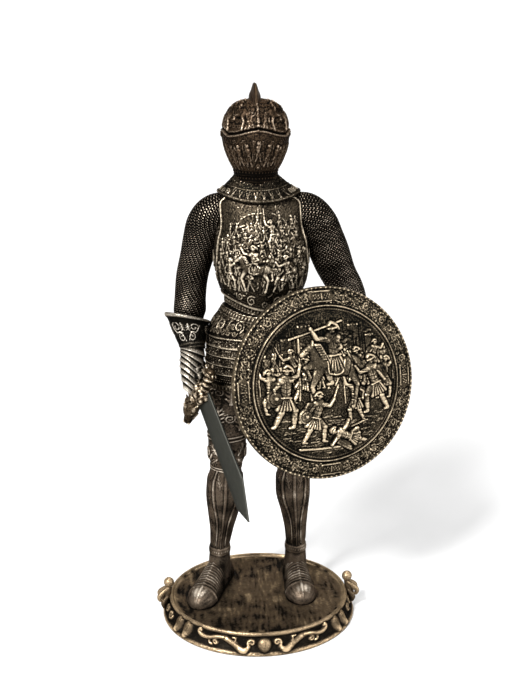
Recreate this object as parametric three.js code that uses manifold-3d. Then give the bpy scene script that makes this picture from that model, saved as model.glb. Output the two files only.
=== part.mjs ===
// A cast statuette of a knight in embossed parade armour, standing on an oval plinth. The figure, its
// gauntlets and the hilt of its sword are one casting. The plinth, the round shield and the plain sword
// blade are pieces of their own. Millimetres, +Z up, the origin under the middle of the plinth, and the
// knight facing -Y.
import * as THREE from 'three';
import { mergeVertices } from 'three/addons/utils/BufferGeometryUtils.js';
import Module from 'manifold-3d';

const wasm = await Module();
wasm.setup();

// Driving sizes
const FIGURE_HEIGHT = 318; // from the soles to the tip of the comb on the helmet
const PLINTH_HALF_WIDTH = 56.9; // to the outside of the ring round the top
const PLINTH_HALF_DEPTH = 51.2;
const PLINTH_HEIGHT = 13.3;
const PLINTH_FLARE = 4.6; // how far the foot stands out past the ring
const FLOOR_SINK = 1.6; // from the top of the ring down to the floor that the knight stands on
const RING_WIDTH = 3.4;
const BEAD_RADIUS = 3.6; // the egg in the middle of the plinth's side
const BEAD_LEVEL = 6.6;
const BALL_RADIUS = 3.4; // on the brackets at the plinth's ends
const BALL_RISE = 7.9; // from the top of the ring up to its middle
const SHIELD_RADIUS = 55.4;
const SHIELD_WALL = 3.2;
const SHIELD_DOME = 7;
const SHIELD_BORDER = 11.1; // from the edge to the middle of the roped ring
const PANEL_WIDTH = 9; // the four plain tablets in the border
const PANEL_HEIGHT = 6;
const TOWER_WIDTH = 9; // carved in the field
const TOWER_HEIGHT = 17;
const HANDLE_RADIUS = 1.9;
const HANDLE_SPAN = 30;
const HANDLE_RISE = 8.5; // from the back of the shield to the middle of the handle
const BLADE_LENGTH = 78.6;
const BLADE_WIDTH = 12.4;
const BLADE_SPREAD = 1.2; // how much wider it is where the point begins
const BLADE_SWING = 3.9; // how far its middle has moved across by there
const BLADE_THICKNESS = 1.5;
const BLADE_POINT = 24; // length of the point along its long edge
const BLADE_CLIP = 9.3; // and along its short one
const TANG_LENGTH = 4; // how far the blade goes into the guard
const CLEARANCE = 0.3;
const FACET_TOLERANCE = 0.08;
const RELIEF_SINK = 0.8; // how far the carving reaches into the flat facets behind it

// The figure's numbers are written at this height, and the unit carries them to the height above
const DRAWN_HEIGHT = 318;
const unit = FIGURE_HEIGHT / DRAWN_HEIGHT;
const floorLevel = PLINTH_HEIGHT - FLOOR_SINK;
const soleLevel = floorLevel + CLEARANCE;

const vector = (x, y, z) => new THREE.Vector3(x, y, z);
/** A point of the figure, measured from the middle of the plinth and up from the soles. */
const onFigure = (x, y, z) => vector(x * unit, y * unit, soleLevel + z * unit);
const mix = (a, b, t) => a + (b - a) * t;
function steps(count, from = 0, to = 1) {
  return Array.from({ length: count + 1 }, (_, i) => mix(from, to, i / count));
}

/** A solid from a closed geometry. */
function solidOf(geometry) {
  const bare = geometry.clone();
  bare.deleteAttribute('normal');
  bare.deleteAttribute('uv');
  const merged = mergeVertices(bare, 1e-4);
  const vertProperties = merged.attributes.position.array;
  const triVerts = Uint32Array.from(merged.index.array);
  return new wasm.Manifold(new wasm.Mesh({ numProp: 3, vertProperties, triVerts }));
}

/** The geometry of a solid: its one body, without specks and slits, and with nearly flat facets made one. */
function geometryOf(solid) {
  const bodies = solid.simplify(FACET_TOLERANCE).decompose();
  const body = bodies.reduce((a, b) => (a.volume() > b.volume() ? a : b));
  const { vertProperties, triVerts } = body.getMesh();
  const geometry = new THREE.BufferGeometry();
  geometry.setAttribute('position', new THREE.BufferAttribute(vertProperties, 3));
  geometry.setIndex(new THREE.BufferAttribute(triVerts, 1));
  geometry.computeVertexNormals();
  return geometry;
}

const join = (solids) => solids.reduce((all, one) => all.add(one));

/** A closed solid through rings of as many points each. An end of three points is one face, else a fan. */
function skin(rings) {
  const around = rings[0].length;
  const points = rings.flat();
  const faces = [];
  for (let i = 0; i < rings.length - 1; i++) {
    for (let j = 0; j < around; j++) {
      const a = i * around + j;
      const b = i * around + ((j + 1) % around);
      faces.push(a, b, b + around, a, b + around, a + around);
    }
  }
  const last = (rings.length - 1) * around;
  const middle = (ring) => ring.reduce((sum, p) => sum.add(p), vector(0, 0, 0)).divideScalar(around);
  if (around === 3) {
    faces.push(0, 2, 1, last, last + 1, last + 2);
  } else {
    const start = points.push(middle(rings[0])) - 1;
    const end = points.push(middle(rings[rings.length - 1])) - 1;
    for (let j = 0; j < around; j++) {
      const next = (j + 1) % around;
      faces.push(start, next, j, end, last + j, last + next);
    }
  }
  const corner = (k) => points[faces[k]];
  let volume = 0;
  for (let k = 0; k < faces.length; k += 3) {
    volume += corner(k).dot(corner(k + 1).clone().cross(corner(k + 2)));
  }
  if (volume < 0) faces.reverse();
  const geometry = new THREE.BufferGeometry();
  const places = Float32Array.from(points.flatMap((p) => p.toArray()));
  geometry.setAttribute('position', new THREE.BufferAttribute(places, 3));
  geometry.setIndex(faces);
  return solidOf(geometry);
}

/** A row read off a table at a given height, by a cubic that doesn't overshoot. Column 2 is the height. */
function rowAt(rows, z) {
  const last = rows.length - 1;
  let i = 0;
  while (i < last - 1 && (z - rows[i + 1][2]) * (rows[last][2] - rows[0][2]) > 0) i += 1;
  const h = rows[i + 1][2] - rows[i][2];
  const t = Math.min(1, Math.max(0, (z - rows[i][2]) / h));
  const rise = (k, c) => (rows[k + 1][c] - rows[k][c]) / (rows[k + 1][2] - rows[k][2]);
  const slope = (k, c) => {
    if (k === 0) return rise(0, c);
    if (k === last) return rise(last - 1, c);
    const [a, b] = [rise(k - 1, c), rise(k, c)];
    return a * b <= 0 ? 0 : (2 * a * b) / (a + b);
  };
  return rows[i].map((value, c) => {
    if (c === 2) return z;
    const [m0, m1] = [slope(i, c) * h, slope(i + 1, c) * h];
    const [s, q] = [t * t * (3 - 2 * t), t * t];
    return mix(value, rows[i + 1][c], s) + m0 * (t - 2 * q + q * t) + m1 * (q * t - q);
  });
}

/**
 * A point on a level section: angle 0 is the +X side and 90 degrees the front. A row is x, y, z, half width,
 * front and back.
 */
function onSection([x, y, z, halfWidth, front, back], angle, lift = 0, power = 2) {
  const round = (v) => Math.sign(v) * Math.abs(v) ** (2 / power);
  const depth = Math.sin(angle) > 0 ? front : back;
  const across = (halfWidth + lift) * round(Math.cos(angle));
  const along = (depth + lift) * round(Math.sin(angle));
  return onFigure(x + across, y - along, z);
}

const turn = (count) => steps(count, 0, 2 * Math.PI).slice(0, -1);

/**
 * A solid of rings through a table of rows. A level is its height, or a function from the angle to the
 * height, and how far the ring stands out. The keel is a ridge down the front.
 */
function ringed(rows, levels, around, { keel = 0, power = 2 } = {}) {
  const ring = ([height, lift = 0]) => turn(around).map((a) => {
    const z = typeof height === 'function' ? height(a) : height;
    const ahead = Math.abs(a - Math.PI / 2) < 0.01 ? keel : 0;
    return onSection(rowAt(rows, z), a, lift + ahead, power);
  });
  return skin(levels.map(ring));
}

/** A height that dips in the middle of the front. */
const dipped = (z, dip) => (a) => z - dip * Math.max(0, Math.sin(a)) ** 3;

/** A surface for relief on a ringed body: across is the arc from the middle of the front, up the height. */
const wrapped = (rows, radius) => (across, up, out) =>
  onSection(rowAt(rows, up / unit), Math.PI / 2 - across / (radius * unit), out / unit);

/** A ridge on a surface, along [across, up] points, with a half width at each and a height over it. */
function ridge(surface, path, widths, height, sink = RELIEF_SINK) {
  const rings = path.map(([u, v], i) => {
    const [u0, v0] = path[Math.max(i - 1, 0)];
    const [u1, v1] = path[Math.min(i + 1, path.length - 1)];
    const span = Math.hypot(u1 - u0, v1 - v0);
    const [du, dv] = [((v1 - v0) / span) * widths[i], ((u0 - u1) / span) * widths[i]];
    return [surface(u + du, v + dv, -sink), surface(u, v, height), surface(u - du, v - dv, -sink)];
  });
  return skin(rings);
}

/** A tube with flat ends through points, a radius at each. Its rings are square to it or to given normals. */
function strand(points, radii, { sides = 3, normals = [] } = {}) {
  const side = vector(0.93, 0.31, 0.14);
  const rings = points.map((p, i) => {
    const ahead = points[Math.min(i + 1, points.length - 1)].clone().sub(points[Math.max(i - 1, 0)]);
    const along = (normals[i] ?? ahead).clone().normalize();
    side.projectOnPlane(along).normalize();
    const up = along.clone().cross(side);
    return turn(sides).map((a) => p.clone()
      .addScaledVector(side, radii[i] * Math.cos(a))
      .addScaledVector(up, radii[i] * Math.sin(a)));
  });
  return skin(rings);
}

/** A round limb along a smooth curve. Rows are x, y, z and radius, on the figure. */
function limb(rows, cuts, sides) {
  const path = new THREE.CatmullRomCurve3(rows.map(([x, y, z]) => onFigure(x, y, z)));
  const girth = new THREE.CatmullRomCurve3(rows.map((row, i) => vector(i, row[3] * unit, 0)));
  const at = steps(cuts);
  return strand(at.map((t) => path.getPoint(t)), at.map((t) => girth.getPoint(t).y), { sides });
}

/** A small eight-sided boss. */
const stud = (centre, radius) => solidOf(new THREE.OctahedronGeometry(radius).translate(...centre.toArray()));

/** A ball of 20 faces, squeezed and turned to lie along a line. */
function knob(centre, radius, { stretch = 1, along = vector(0, 0, 1) } = {}) {
  const swing = new THREE.Quaternion().setFromUnitVectors(vector(0, 0, 1), along.clone().normalize());
  const place = new THREE.Matrix4().compose(centre, swing, vector(radius, radius, radius * stretch));
  return solidOf(new THREE.IcosahedronGeometry(1, 0).applyMatrix4(place));
}

// Carved men and horses, as joints on a unit height: x to the right, y up. Each line of joints is a limb.
const MEN = {
  spearman: {
    head: [0.03, 0.92],
    trunk: [[0.0, 0.8], [-0.02, 0.5]],
    limbs: [
      [[0.05, 0.79], [0.2, 0.86], [0.24, 1.02]],
      [[-0.07, 0.78], [-0.2, 0.58]],
      [[0.0, 0.5], [0.13, 0.29], [0.1, 0.03]],
      [[-0.05, 0.5], [-0.1, 0.27], [-0.22, 0.05]],
    ],
    tool: [[0.22, 0.45], [0.26, 1.45]],
  },
  swordsman: {
    head: [-0.05, 0.88],
    trunk: [[-0.06, 0.76], [0.03, 0.48]],
    limbs: [
      [[-0.11, 0.75], [-0.27, 0.7], [-0.36, 0.82]],
      [[0.0, 0.76], [0.17, 0.6]],
      [[0.0, 0.48], [-0.16, 0.3], [-0.14, 0.03]],
      [[0.06, 0.48], [0.14, 0.26], [0.27, 0.04]],
    ],
    tool: [[-0.35, 0.8], [-0.47, 1.08]],
  },
  fallen: {
    head: [-0.36, 0.34],
    trunk: [[-0.24, 0.28], [0.04, 0.17]],
    limbs: [
      [[-0.26, 0.24], [-0.42, 0.03]],
      [[-0.2, 0.31], [-0.08, 0.42], [-0.02, 0.56]],
      [[0.03, 0.19], [0.19, 0.34], [0.28, 0.06]],
      [[0.05, 0.14], [0.24, 0.1], [0.44, 0.04]],
    ],
    tool: [[0.06, 0.4], [0.42, 0.5]],
  },
  rider: {
    head: [0.02, 1.08],
    trunk: [[0.0, 0.97], [0.02, 0.72]],
    limbs: [
      [[-0.06, 0.95], [-0.22, 0.98], [-0.3, 1.12]],
      [[0.02, 0.7], [-0.1, 0.52], [-0.04, 0.36]],
      [[0.3, 0.62], [0.44, 0.52], [0.46, 0.32]],
      [[0.22, 0.56], [0.34, 0.3], [0.28, 0.02]],
      [[-0.24, 0.66], [-0.42, 0.6], [-0.36, 0.46]],
      [[-0.2, 0.58], [-0.34, 0.34], [-0.26, 0.04]],
    ],
    mount: [[0.3, 0.58], [0.02, 0.56], [-0.22, 0.66], [-0.32, 0.86], [-0.46, 0.78]],
    tool: [[-0.62, 1.0], [0.18, 1.2]],
  },
};
const HEAD_SIZE = 0.09;
const DEEPEST_MAN = 24; // a taller man stands out no further than one of this height
const LIMB_SIZES = [0.08, 0.065, 0.05];
const TRUNK_SIZES = [0.12, 0.1];
const MOUNT_SIZES = [0.12, 0.11, 0.12, 0.08, 0.05];

/** A man in relief on a surface of [across, up, out], standing at a point with a height. */
function carvedMan(surface, name, [across, up], height, flip = 1) {
  const man = MEN[name];
  const depth = Math.min(height, DEEPEST_MAN);
  const spot = ([x, y]) => [across + flip * x * height, up + y * height];
  const line = (points, sizes, out) => {
    const widths = points.map((_, i) => sizes[i] * height);
    return ridge(surface, points.map(spot), widths, out * depth);
  };
  const head = stud(surface(...spot(man.head), 0.03 * depth - 0.3), HEAD_SIZE * mix(depth, height, 0.3));
  const parts = [line(man.trunk, TRUNK_SIZES, 0.085), head];
  man.limbs.forEach((points) => parts.push(line(points, LIMB_SIZES, 0.06)));
  if (man.mount) parts.push(line(man.mount, MOUNT_SIZES, 0.06));
  parts.push(line(man.tool, [0.03, 0.03], 0.04));
  return join(parts);
}

// The head
const HELMET = [
  [-0.6, 8, 259, 12.4, 12, 13],
  [-0.7, 8, 267, 12.6, 15, 14],
  [-0.8, 8, 275, 15.9, 20.5, 18],
  [-0.8, 8, 282, 18.4, 23.3, 21],
  [-0.8, 8, 289, 19.5, 24, 23],
  [-0.8, 8, 296, 18.2, 21.8, 22.5],
  [-0.8, 8, 302.5, 15.6, 18.3, 19.5],
  [-0.8, 8, 306.5, 11.4, 12.8, 14.2],
  [-0.8, 8, 308.8, 4, 4.6, 5.2],
];
/** The brow rises over the face and again at the sides of the head. */
const brow = (rise) => (a) => {
  const face = 3.4 * Math.max(0, Math.sin(a)) ** 6;
  const side = 20 * Math.max(0, Math.abs(Math.cos(a)) - 0.85);
  return 288.6 + face + side + rise;
};
const HELMET_LEVELS = [
  [308.8], [306.5], [302.5], [296], [brow(3.4)], [brow(2.8), -1], [brow(1.4), -0.9], [brow(0.9), 0.7],
  [brow(-0.8), 0.7], [brow(-1.4), 0.2], [282], [275], [267], [259],
];

function helmet() {
  const shell = ringed(HELMET, HELMET_LEVELS, 16, { keel: 0.9, power: 1.9 });
  const pivots = [0, Math.PI].map((a) => stud(onSection(rowAt(HELMET, 290.5), a, -2.8), 3.2 * unit));
  return join([shell, comb(), ...pivots]);
}

// Across the comb: share of its half width, and of its height
const COMB_SECTION = [[-1, 0], [1, 0], [0.84, 0.43], [0.46, 0.76], [0, 1], [-0.46, 0.76], [-0.84, 0.43]];

/** The comb stands on the skull from brow to nape, lens-shaped from the front and highest over the crown. */
function comb() {
  const rings = steps(8, -0.3 * Math.PI, 0.3 * Math.PI).map((a) => {
    const swell = Math.cos((a * 5) / 3) ** 1.2;
    const foot = onFigure(-1.2, 9 + 23 * Math.sin(a), 281 + 23 * Math.cos(a));
    const out = vector(0, Math.sin(a), Math.cos(a));
    const height = mix(2.2, 14, swell) * unit;
    const half = mix(0.8, 3.7, swell) * unit;
    return COMB_SECTION.map(([side, rise]) => foot.clone()
      .addScaledVector(out, height * rise)
      .add(vector(side * half, 0, 0)));
  });
  return skin(rings);
}

// The gorget flares from the neck to a beaded rim that dips in front
const GORGET_RIM = { x: 1, y: 9, halfWidth: 23.6, front: 18.5, back: 16 };
const GORGET_LEVELS = [[0, 0, 0], [0.45, 0, 0], [0.9, 0, 0], [0.96, 0.7, 0.7], [1, 0.9, -0.4], [1, -1, -2]];

/** Share is how far down from the neck a ring lies, out and up how far it stands off the plate. */
function gorgetRing([share, out, up]) {
  return turn(16).map((a) => {
    const depth = Math.sin(a) > 0 ? GORGET_RIM.front : GORGET_RIM.back;
    const across = (mix(12.3, GORGET_RIM.halfWidth, share) + out) * Math.cos(a);
    const along = (mix(12.5, depth, share) + out) * Math.sin(a);
    const rim = 257 - 4.4 * Math.max(0, Math.sin(a)) ** 2 - 1.6 * Math.max(0, -Math.sin(a)) ** 2;
    const z = mix(267, rim, share ** 0.8) + up;
    return onFigure(mix(-0.6, GORGET_RIM.x, share) + across, GORGET_RIM.y - along, z);
  });
}
const gorget = () => skin(GORGET_LEVELS.map(gorgetRing));

// The breastplate with its low belly and dipping edge, and the yoke under the gorget
const TRUNK = [
  [3, 9, 188, 22.6, 20.5, 13.5],
  [3, 9, 192, 22.8, 23, 14],
  [3, 9, 199, 24.4, 27, 15],
  [2.8, 9, 206, 26.4, 28.6, 16],
  [2.5, 9, 216, 28, 28, 17],
  [2.2, 9, 227, 28.1, 25.6, 17.5],
  [1.8, 9, 239, 26.2, 21.5, 17],
  [1.2, 9, 250, 26, 17, 15.5],
  [0.6, 9, 257, 18, 13.5, 13],
];
const TRUNK_LEVELS = [
  [257], [250], [239], [227], [216], [206], [dipped(200, 4)], [dipped(198, 6.4), 0.9],
  [dipped(197, 6.8), 0.7],
];
const onTrunk = wrapped(TRUNK, 27);
const ARMHOLE = [[27.5, 254], [28.7, 250], [28.4, 239], [30.7, 226], [33, 217], [36.5, 208]]; // across and up

function trunk() {
  const armhole = (side) => ARMHOLE.map(([across, up]) => [side * across * unit, up * unit]);
  const roll = (path) => ridge(onTrunk, path, path.map(() => 1.2 * unit), 1.3 * unit);
  const rolls = [-1, 1].map((side) => roll(armhole(side)));
  const men = [
    ['rider', -6, 204, 23, 1],
    ['swordsman', 13, 203, 20, 1],
    ['spearman', 5, 226, 17, -1],
  ];
  const carved = men.map(([name, across, up, height, flip]) =>
    carvedMan(onTrunk, name, [across * unit, up * unit], height * unit, flip));
  return join([ringed(TRUNK, TRUNK_LEVELS, 16, { keel: 0.8 }), ...rolls, ...carved]);
}

// The belts, the hip plates, the lames and the mail skirt below the waist
const SKIRT = [
  [3, 9, 200, 21.5, 17, 13],
  [2.8, 9, 192, 21.8, 18, 13.4],
  [2.4, 9, 188, 23.2, 18.6, 14],
  [1.8, 8.5, 180, 28.4, 20.5, 17],
  [1.6, 8, 172, 31.8, 22.5, 20],
  [2, 8, 160, 33.2, 23.5, 22],
  [2.2, 8, 150, 33.8, 23.5, 22.5],
  [2.2, 8, 140, 33.4, 22.5, 22],
];
const SKIRT_LEVELS = [
  [200], [dipped(192.6, 5), 1], [dipped(192, 5)], [dipped(186.6, 4), 1], [dipped(186, 4)], [179],
  [172.3, 0.4], [171.7, -0.4], [166.8, 0.9], [166.2, 0.1], [161.3, 1.4], [160.7, 0.6], [149, 0.6],
  [143.8, 0.8], [143.4, 1.7], [140, 1.7],
];
const skirt = () => ringed(SKIRT, SKIRT_LEVELS, 16);

// The mail sleeves: x, y, z and radius
const RIGHT_SLEEVE = [
  [-13, 9.5, 249, 7],
  [-23, 10.5, 244.5, 11],
  [-29, 12, 237.5, 11.9],
  [-32.6, 13, 228, 11],
  [-36, 13.5, 216, 9.8],
  [-38.8, 13, 203, 9.4],
  [-40.3, 11.5, 193, 9.3],
  [-40.6, 9.5, 185.5, 9.6],
  [-40.4, 8, 180, 8],
];
const LEFT_SLEEVE = [
  [17, 9.5, 249, 7],
  [28, 10.5, 244, 11.6],
  [35.3, 12, 236.5, 12.5],
  [40.3, 13, 227, 12.1],
  [45.4, 13, 215.5, 11.6],
  [49.8, 12.4, 205.5, 10.8],
  [54, 10.5, 196.8, 10.2],
  [55.2, 5.5, 189.5, 10],
  [52.8, -1, 183.5, 8],
];

/** Normals that lean from one direction to another along a tube. */
function leaning(from, to, shares) {
  const [first, last] = [from.clone().normalize(), to.clone().normalize()];
  return shares.map((t) => first.clone().lerp(last, t));
}

/** A flared cuff with a rolled rim, from the rim down to the wrist. */
function cuff(rim, wrist, [rimRadius, wristRadius], rimNormal) {
  const [a, b] = [onFigure(...rim), onFigure(...wrist)];
  const last = [1, wristRadius / rimRadius];
  const shape = [[-0.03, 1.02], [0.05, 1.06], [0.1, 0.95], [0.5, 0.75], [0.85, 0.58], last];
  const shares = shape.map(([t]) => t);
  const normals = leaning(rimNormal, b.clone().sub(a), shares);
  const radii = shape.map(([, share]) => rimRadius * share * unit);
  return strand(shares.map((t) => a.clone().lerp(b, t)), radii, { sides: 11, normals });
}

/** A row of plates along a hand, each one flaring over the next. Rows are x, y, z and radius. */
function plates(rows, count, lastNormal) {
  const path = new THREE.CatmullRomCurve3(rows.map(([x, y, z]) => onFigure(x, y, z)));
  const girth = new THREE.CatmullRomCurve3(rows.map((row, i) => vector(i, row[3] * unit, 0)));
  const at = steps(count).slice(0, -1).flatMap((t) => [t + 0.01, t + 0.97 / count]);
  const radii = at.map((t, i) => girth.getPoint(t).y + (i % 2 ? 0.8 * unit : 0));
  const normals = leaning(path.getTangent(0), lastNormal, at.map((t) => Math.min(1, t * 3)));
  return strand(at.map((t) => path.getPoint(t)), radii, { sides: 8, normals });
}

/** Four fingers that wrap a bar, side by side along it. */
function fingers(bar, along, outward, reach, pitch = 4.2) {
  const across = along.clone().cross(outward).normalize();
  return join(steps(3, -1.5, 1.5).map((k) => {
    const root = bar.clone().addScaledVector(along, k * pitch * unit);
    const knuckle = (angle, r) => root.clone()
      .addScaledVector(outward, Math.cos(angle) * r * unit)
      .addScaledVector(across, Math.sin(angle) * r * unit);
    const bend = steps(2, -0.8, 2.2).map((angle) => knuckle(angle, reach));
    return strand(bend, bend.map(() => 2.5 * unit));
  }));
}

// The sword hand, its hilt and the beasts at the ends of the guard
const GUARD = onFigure(-34.4, -12.8, 141.4);
const bladeLine = vector(0.28, -0.516, -0.809).normalize();
const guardLine = vector(0.553, -0.602, 0.575).projectOnPlane(bladeLine).normalize();
const bladeFace = guardLine.clone().cross(bladeLine).normalize();
const onHilt = (along, across, out = 0) => GUARD.clone()
  .addScaledVector(bladeLine, along * unit)
  .addScaledVector(guardLine, across * unit)
  .addScaledVector(bladeFace, out * unit);

/** A beast's head at the end of the guard: neck, skull, snout, lower jaw, two ears and a mane. */
function beast(end, facing, crown, size) {
  const up = crown.clone().projectOnPlane(facing).normalize();
  const side = facing.clone().cross(up);
  const at = (forward, rise, across) => end.clone()
    .addScaledVector(facing, forward * size)
    .addScaledVector(up, rise * size)
    .addScaledVector(side, across * size);
  const sized = (radii) => radii.map((r) => r * size);
  const skull = [at(-1.4, -0.2, 0), at(-0.2, 0, 0), at(0.6, 0.1, 0), at(1.9, -0.15, 0)];
  return join([
    strand(skull, sized([0.8, 1.1, 0.9, 0.5]), { sides: 4 }),
    strand([at(0.2, -0.6, 0), at(1.4, -0.95, 0)], sized([0.5, 0.34])),
    ...[-1, 1].map((k) => strand([at(-0.2, 0.6, k * 0.45), at(-1, 1.35, k * 0.8)], sized([0.42, 0.12]))),
    stud(at(-0.9, 0.5, 0), 1.05 * size),
  ]);
}

function swordHand() {
  const thumbward = vector(0.75, 0.2, 0.1).projectOnPlane(bladeLine).normalize();
  const arm = (points) => strand(points, [3.2, 3, 2.6].map((r) => r * unit), { sides: 4 });
  const backOfHand = [
    [-38.6, -0.8, 165, 6.8],
    [-39.4, -3.4, 158.5, 7.9],
    [-40.2, -6, 152, 7.8],
    [-41.4, -8, 146, 6],
    [-42.8, -10, 140.5, 2.8],
  ];
  const block = [-5, -1, 3, 7.2].map((along) => onHilt(along, 0));
  return join([
    cuff([-41.9, 7, 181.5], [-38.8, -1, 163.5], [13, 7.2], vector(-0.2, -0.32, -1)),
    plates(backOfHand, 5, vector(-0.5, -0.32, -0.8)),
    fingers(onHilt(-14, 0), bladeLine, thumbward, 5.4, 3.9),
    strand([onHilt(-26, 0), onHilt(0, 0)], [2.8 * unit, 2.8 * unit], { sides: 5 }),
    strand(block, [3.6, 4.8, 5.2, 4].map((r) => r * unit), { sides: 6 }),
    arm([onHilt(0, 0), onHilt(-2, 6), onHilt(-5, 11)]),
    arm([onHilt(0, 0), onHilt(0.5, -6), onHilt(2, -12)]),
    beast(onHilt(-7, 12.5), vector(0.1, -0.3, 0.95).normalize(), vector(0.5, -0.8, 0), 3.1 * unit),
    beast(onHilt(5, -13.5), vector(-0.3, 0.2, -0.93).normalize(), vector(-0.3, -0.9, 0.2), 5.2 * unit),
  ]);
}

/** The blade: a flat bar that leans to one side, with a point that begins further back on that side. */
function bladeShape(grow = 0) {
  const half = BLADE_WIDTH / 2 + grow;
  const shoulder = BLADE_LENGTH - BLADE_POINT;
  const clip = BLADE_LENGTH - BLADE_CLIP;
  const outline = new THREE.Shape([
    new THREE.Vector2(-half, -grow),
    new THREE.Vector2(half, -grow),
    new THREE.Vector2(half + BLADE_SWING + BLADE_SPREAD / 2, shoulder),
    new THREE.Vector2(BLADE_SWING, BLADE_LENGTH + grow),
    new THREE.Vector2(-half + (BLADE_SWING - BLADE_SPREAD / 2) * clip / shoulder, clip),
  ]);
  const depth = BLADE_THICKNESS + 2 * grow;
  return new THREE.ExtrudeGeometry(outline, { depth, bevelEnabled: false }).translate(0, 0, -depth / 2);
}
const bladePlace = new THREE.Matrix4()
  .makeBasis(guardLine, bladeLine, bladeFace)
  .setPosition(onHilt(7.2 - TANG_LENGTH, 0));

// The legs, at the same levels: x, y, z, half width, front and back
const RIGHT_LEG = [
  [-15, 8.5, 152, 16.5, 16, 17],
  [-16.5, 7.5, 135, 15.3, 15, 16],
  [-18, 6, 118, 13.4, 13.4, 13.4],
  [-19, 5, 104, 11.8, 11.6, 11.4],
  [-19.2, 5, 95, 11.6, 12.6, 11],
  [-19.8, 7, 86, 9.6, 10.2, 10],
  [-20.3, 10, 76, 11.1, 10.6, 12],
  [-20.6, 11, 66, 11.5, 10.6, 12.6],
  [-21.7, 12.5, 52, 9.5, 9, 11],
  [-23, 14.5, 38, 7.2, 7.4, 8],
  [-24, 15.5, 28, 6.4, 7, 7.4],
  [-24.4, 15, 16, 7, 8, 8.6],
  [-24.6, 14.5, 6, 7.4, 8, 9],
];
const LEFT_LEG = [
  [20, 8, 152, 16.5, 16, 17],
  [21, 6.5, 135, 15.3, 15, 16],
  [21.8, 4, 118, 13.4, 13.4, 13.4],
  [22, 2.5, 104, 11.8, 11.6, 11.4],
  [22.2, 3, 95, 11.6, 12.6, 11],
  [22.3, 5.5, 86, 9.6, 10.2, 10],
  [22.6, 9, 76, 10.6, 10.2, 12],
  [22.9, 11, 66, 10.6, 10.2, 12.4],
  [24, 13, 52, 8.6, 8.6, 10.8],
  [25, 15, 38, 6.9, 7.2, 8],
  [25.4, 16, 28, 6.4, 7, 7.4],
  [25.6, 16.5, 16, 7, 8, 8.6],
  [25.8, 16.5, 6, 7.4, 8, 9],
];
const LEG_LEVELS = [
  [152], [130], [109.5], [107, 0.9], [106.4], [95, 0.7], [87.6, 0.9], [87], [76], [66], [52], [38], [26.4],
  [25.8, 0.9], [23.6, 0.9], [23], [6],
];

// The feet, from heel to toe: distance, half width and height
const FOOT = [
  [0, 3.6, 7],
  [3.5, 6.4, 12],
  [13, 7.6, 16],
  [20, 8, 17.5],
  [40, 9.8, 10.5],
  [46, 8.4, 8.6],
  [50.5, 4.6, 6],
  [53, 1.2, 2.6],
];
const FOOT_LAMES = 5;

/** A plated shoe with a flat sole, lames over the instep and a pointed toe. */
function shoe(heel, facing) {
  const side = vector(-facing.y, facing.x, 0);
  const rows = [];
  FOOT.forEach((row, i) => {
    rows.push([...row, 0]);
    if (i !== 3) return;
    const next = FOOT[4];
    steps(FOOT_LAMES).slice(0, -1).forEach((t, k) => {
      const [s, w, h] = row.map((v, c) => mix(v, next[c], t + 1 / FOOT_LAMES));
      if (k < FOOT_LAMES - 1) rows.push([s - 0.25, w, h, -0.15], [s, w, h, 0.75]);
    });
  });
  const rings = rows.map(([s, w, h, lift]) => {
    const centre = onFigure(heel[0], heel[1], 0).addScaledVector(facing, s * unit);
    const arch = steps(6, 0, Math.PI).map((a) => centre.clone()
      .addScaledVector(side, (w + lift) * Math.cos(a) * unit)
      .add(vector(0, 0, (h + lift) * Math.sin(a) ** 0.8 * unit)));
    return arch;
  });
  return skin(rings);
}

const RIGHT_HEEL = [-19.4, 29.5];
const LEFT_HEEL = [24.6, 34.5];
const RIGHT_TOEWARD = [-0.4, -0.92];
const LEFT_TOEWARD = [0.05, -1];
const KNEE_LEVEL = 96;
const KNEE_RADIUS = 9;
const KNEE_INSET = 6.4; // from the front of the leg back to the middle of the cap

function leg(rows, heel, toeward) {
  const facing = vector(...toeward, 0).normalize();
  const cap = onSection(rowAt(rows, KNEE_LEVEL), Math.PI / 2, -KNEE_INSET);
  const shin = ringed(rows, LEG_LEVELS, 12, { keel: 0.8 });
  return join([shin, shoe(heel, facing), knob(cap, KNEE_RADIUS * unit)]);
}

// The shield, made flat with its face to -Y, then turned as the knight holds it
const SHIELD_AT = [35.2, -36, 152.8]; // the middle of its edge, among the figure's numbers
const SHIELD_CENTRE = onFigure(...SHIELD_AT);
const SHIELD_SWING = THREE.MathUtils.degToRad(15.8); // towards the knight's left
const SHIELD_LEAN = THREE.MathUtils.degToRad(10.8); // back at the top
const shieldPlace = new THREE.Matrix4()
  .makeRotationZ(SHIELD_SWING)
  .multiply(new THREE.Matrix4().makeRotationX(-SHIELD_LEAN))
  .setPosition(SHIELD_CENTRE);
const domeAt = (radius) => SHIELD_DOME * (1 - (radius / SHIELD_RADIUS) ** 2);
function onShield(across, up, out) {
  return vector(across, -domeAt(Math.hypot(across, up)) - SHIELD_WALL / 2 - out, up);
}

/** The turned body of the shield, as a section swung about its axis. */
function shieldDisc() {
  const half = SHIELD_WALL / 2;
  const edge = SHIELD_RADIUS;
  const ring = SHIELD_RADIUS - SHIELD_BORDER;
  const front = [
    [edge - 0.3, half + 0.8], [edge - 2, half + 0.8], [edge - 3, half], [ring + 1.5, half],
    [ring, half + 1.2], [ring - 1.5, half], [ring * 0.62, half], [ring * 0.3, half],
  ];
  const back = [[0, -half], [ring * 0.5, -half], [ring, -half], [edge, -half]];
  const place = ([radius, out]) => new THREE.Vector2(radius, -domeAt(radius) - out);
  const profile = [[0, half], ...front.reverse(), ...back.reverse()].map(place);
  return solidOf(new THREE.LatheGeometry(profile, 32));
}

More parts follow.
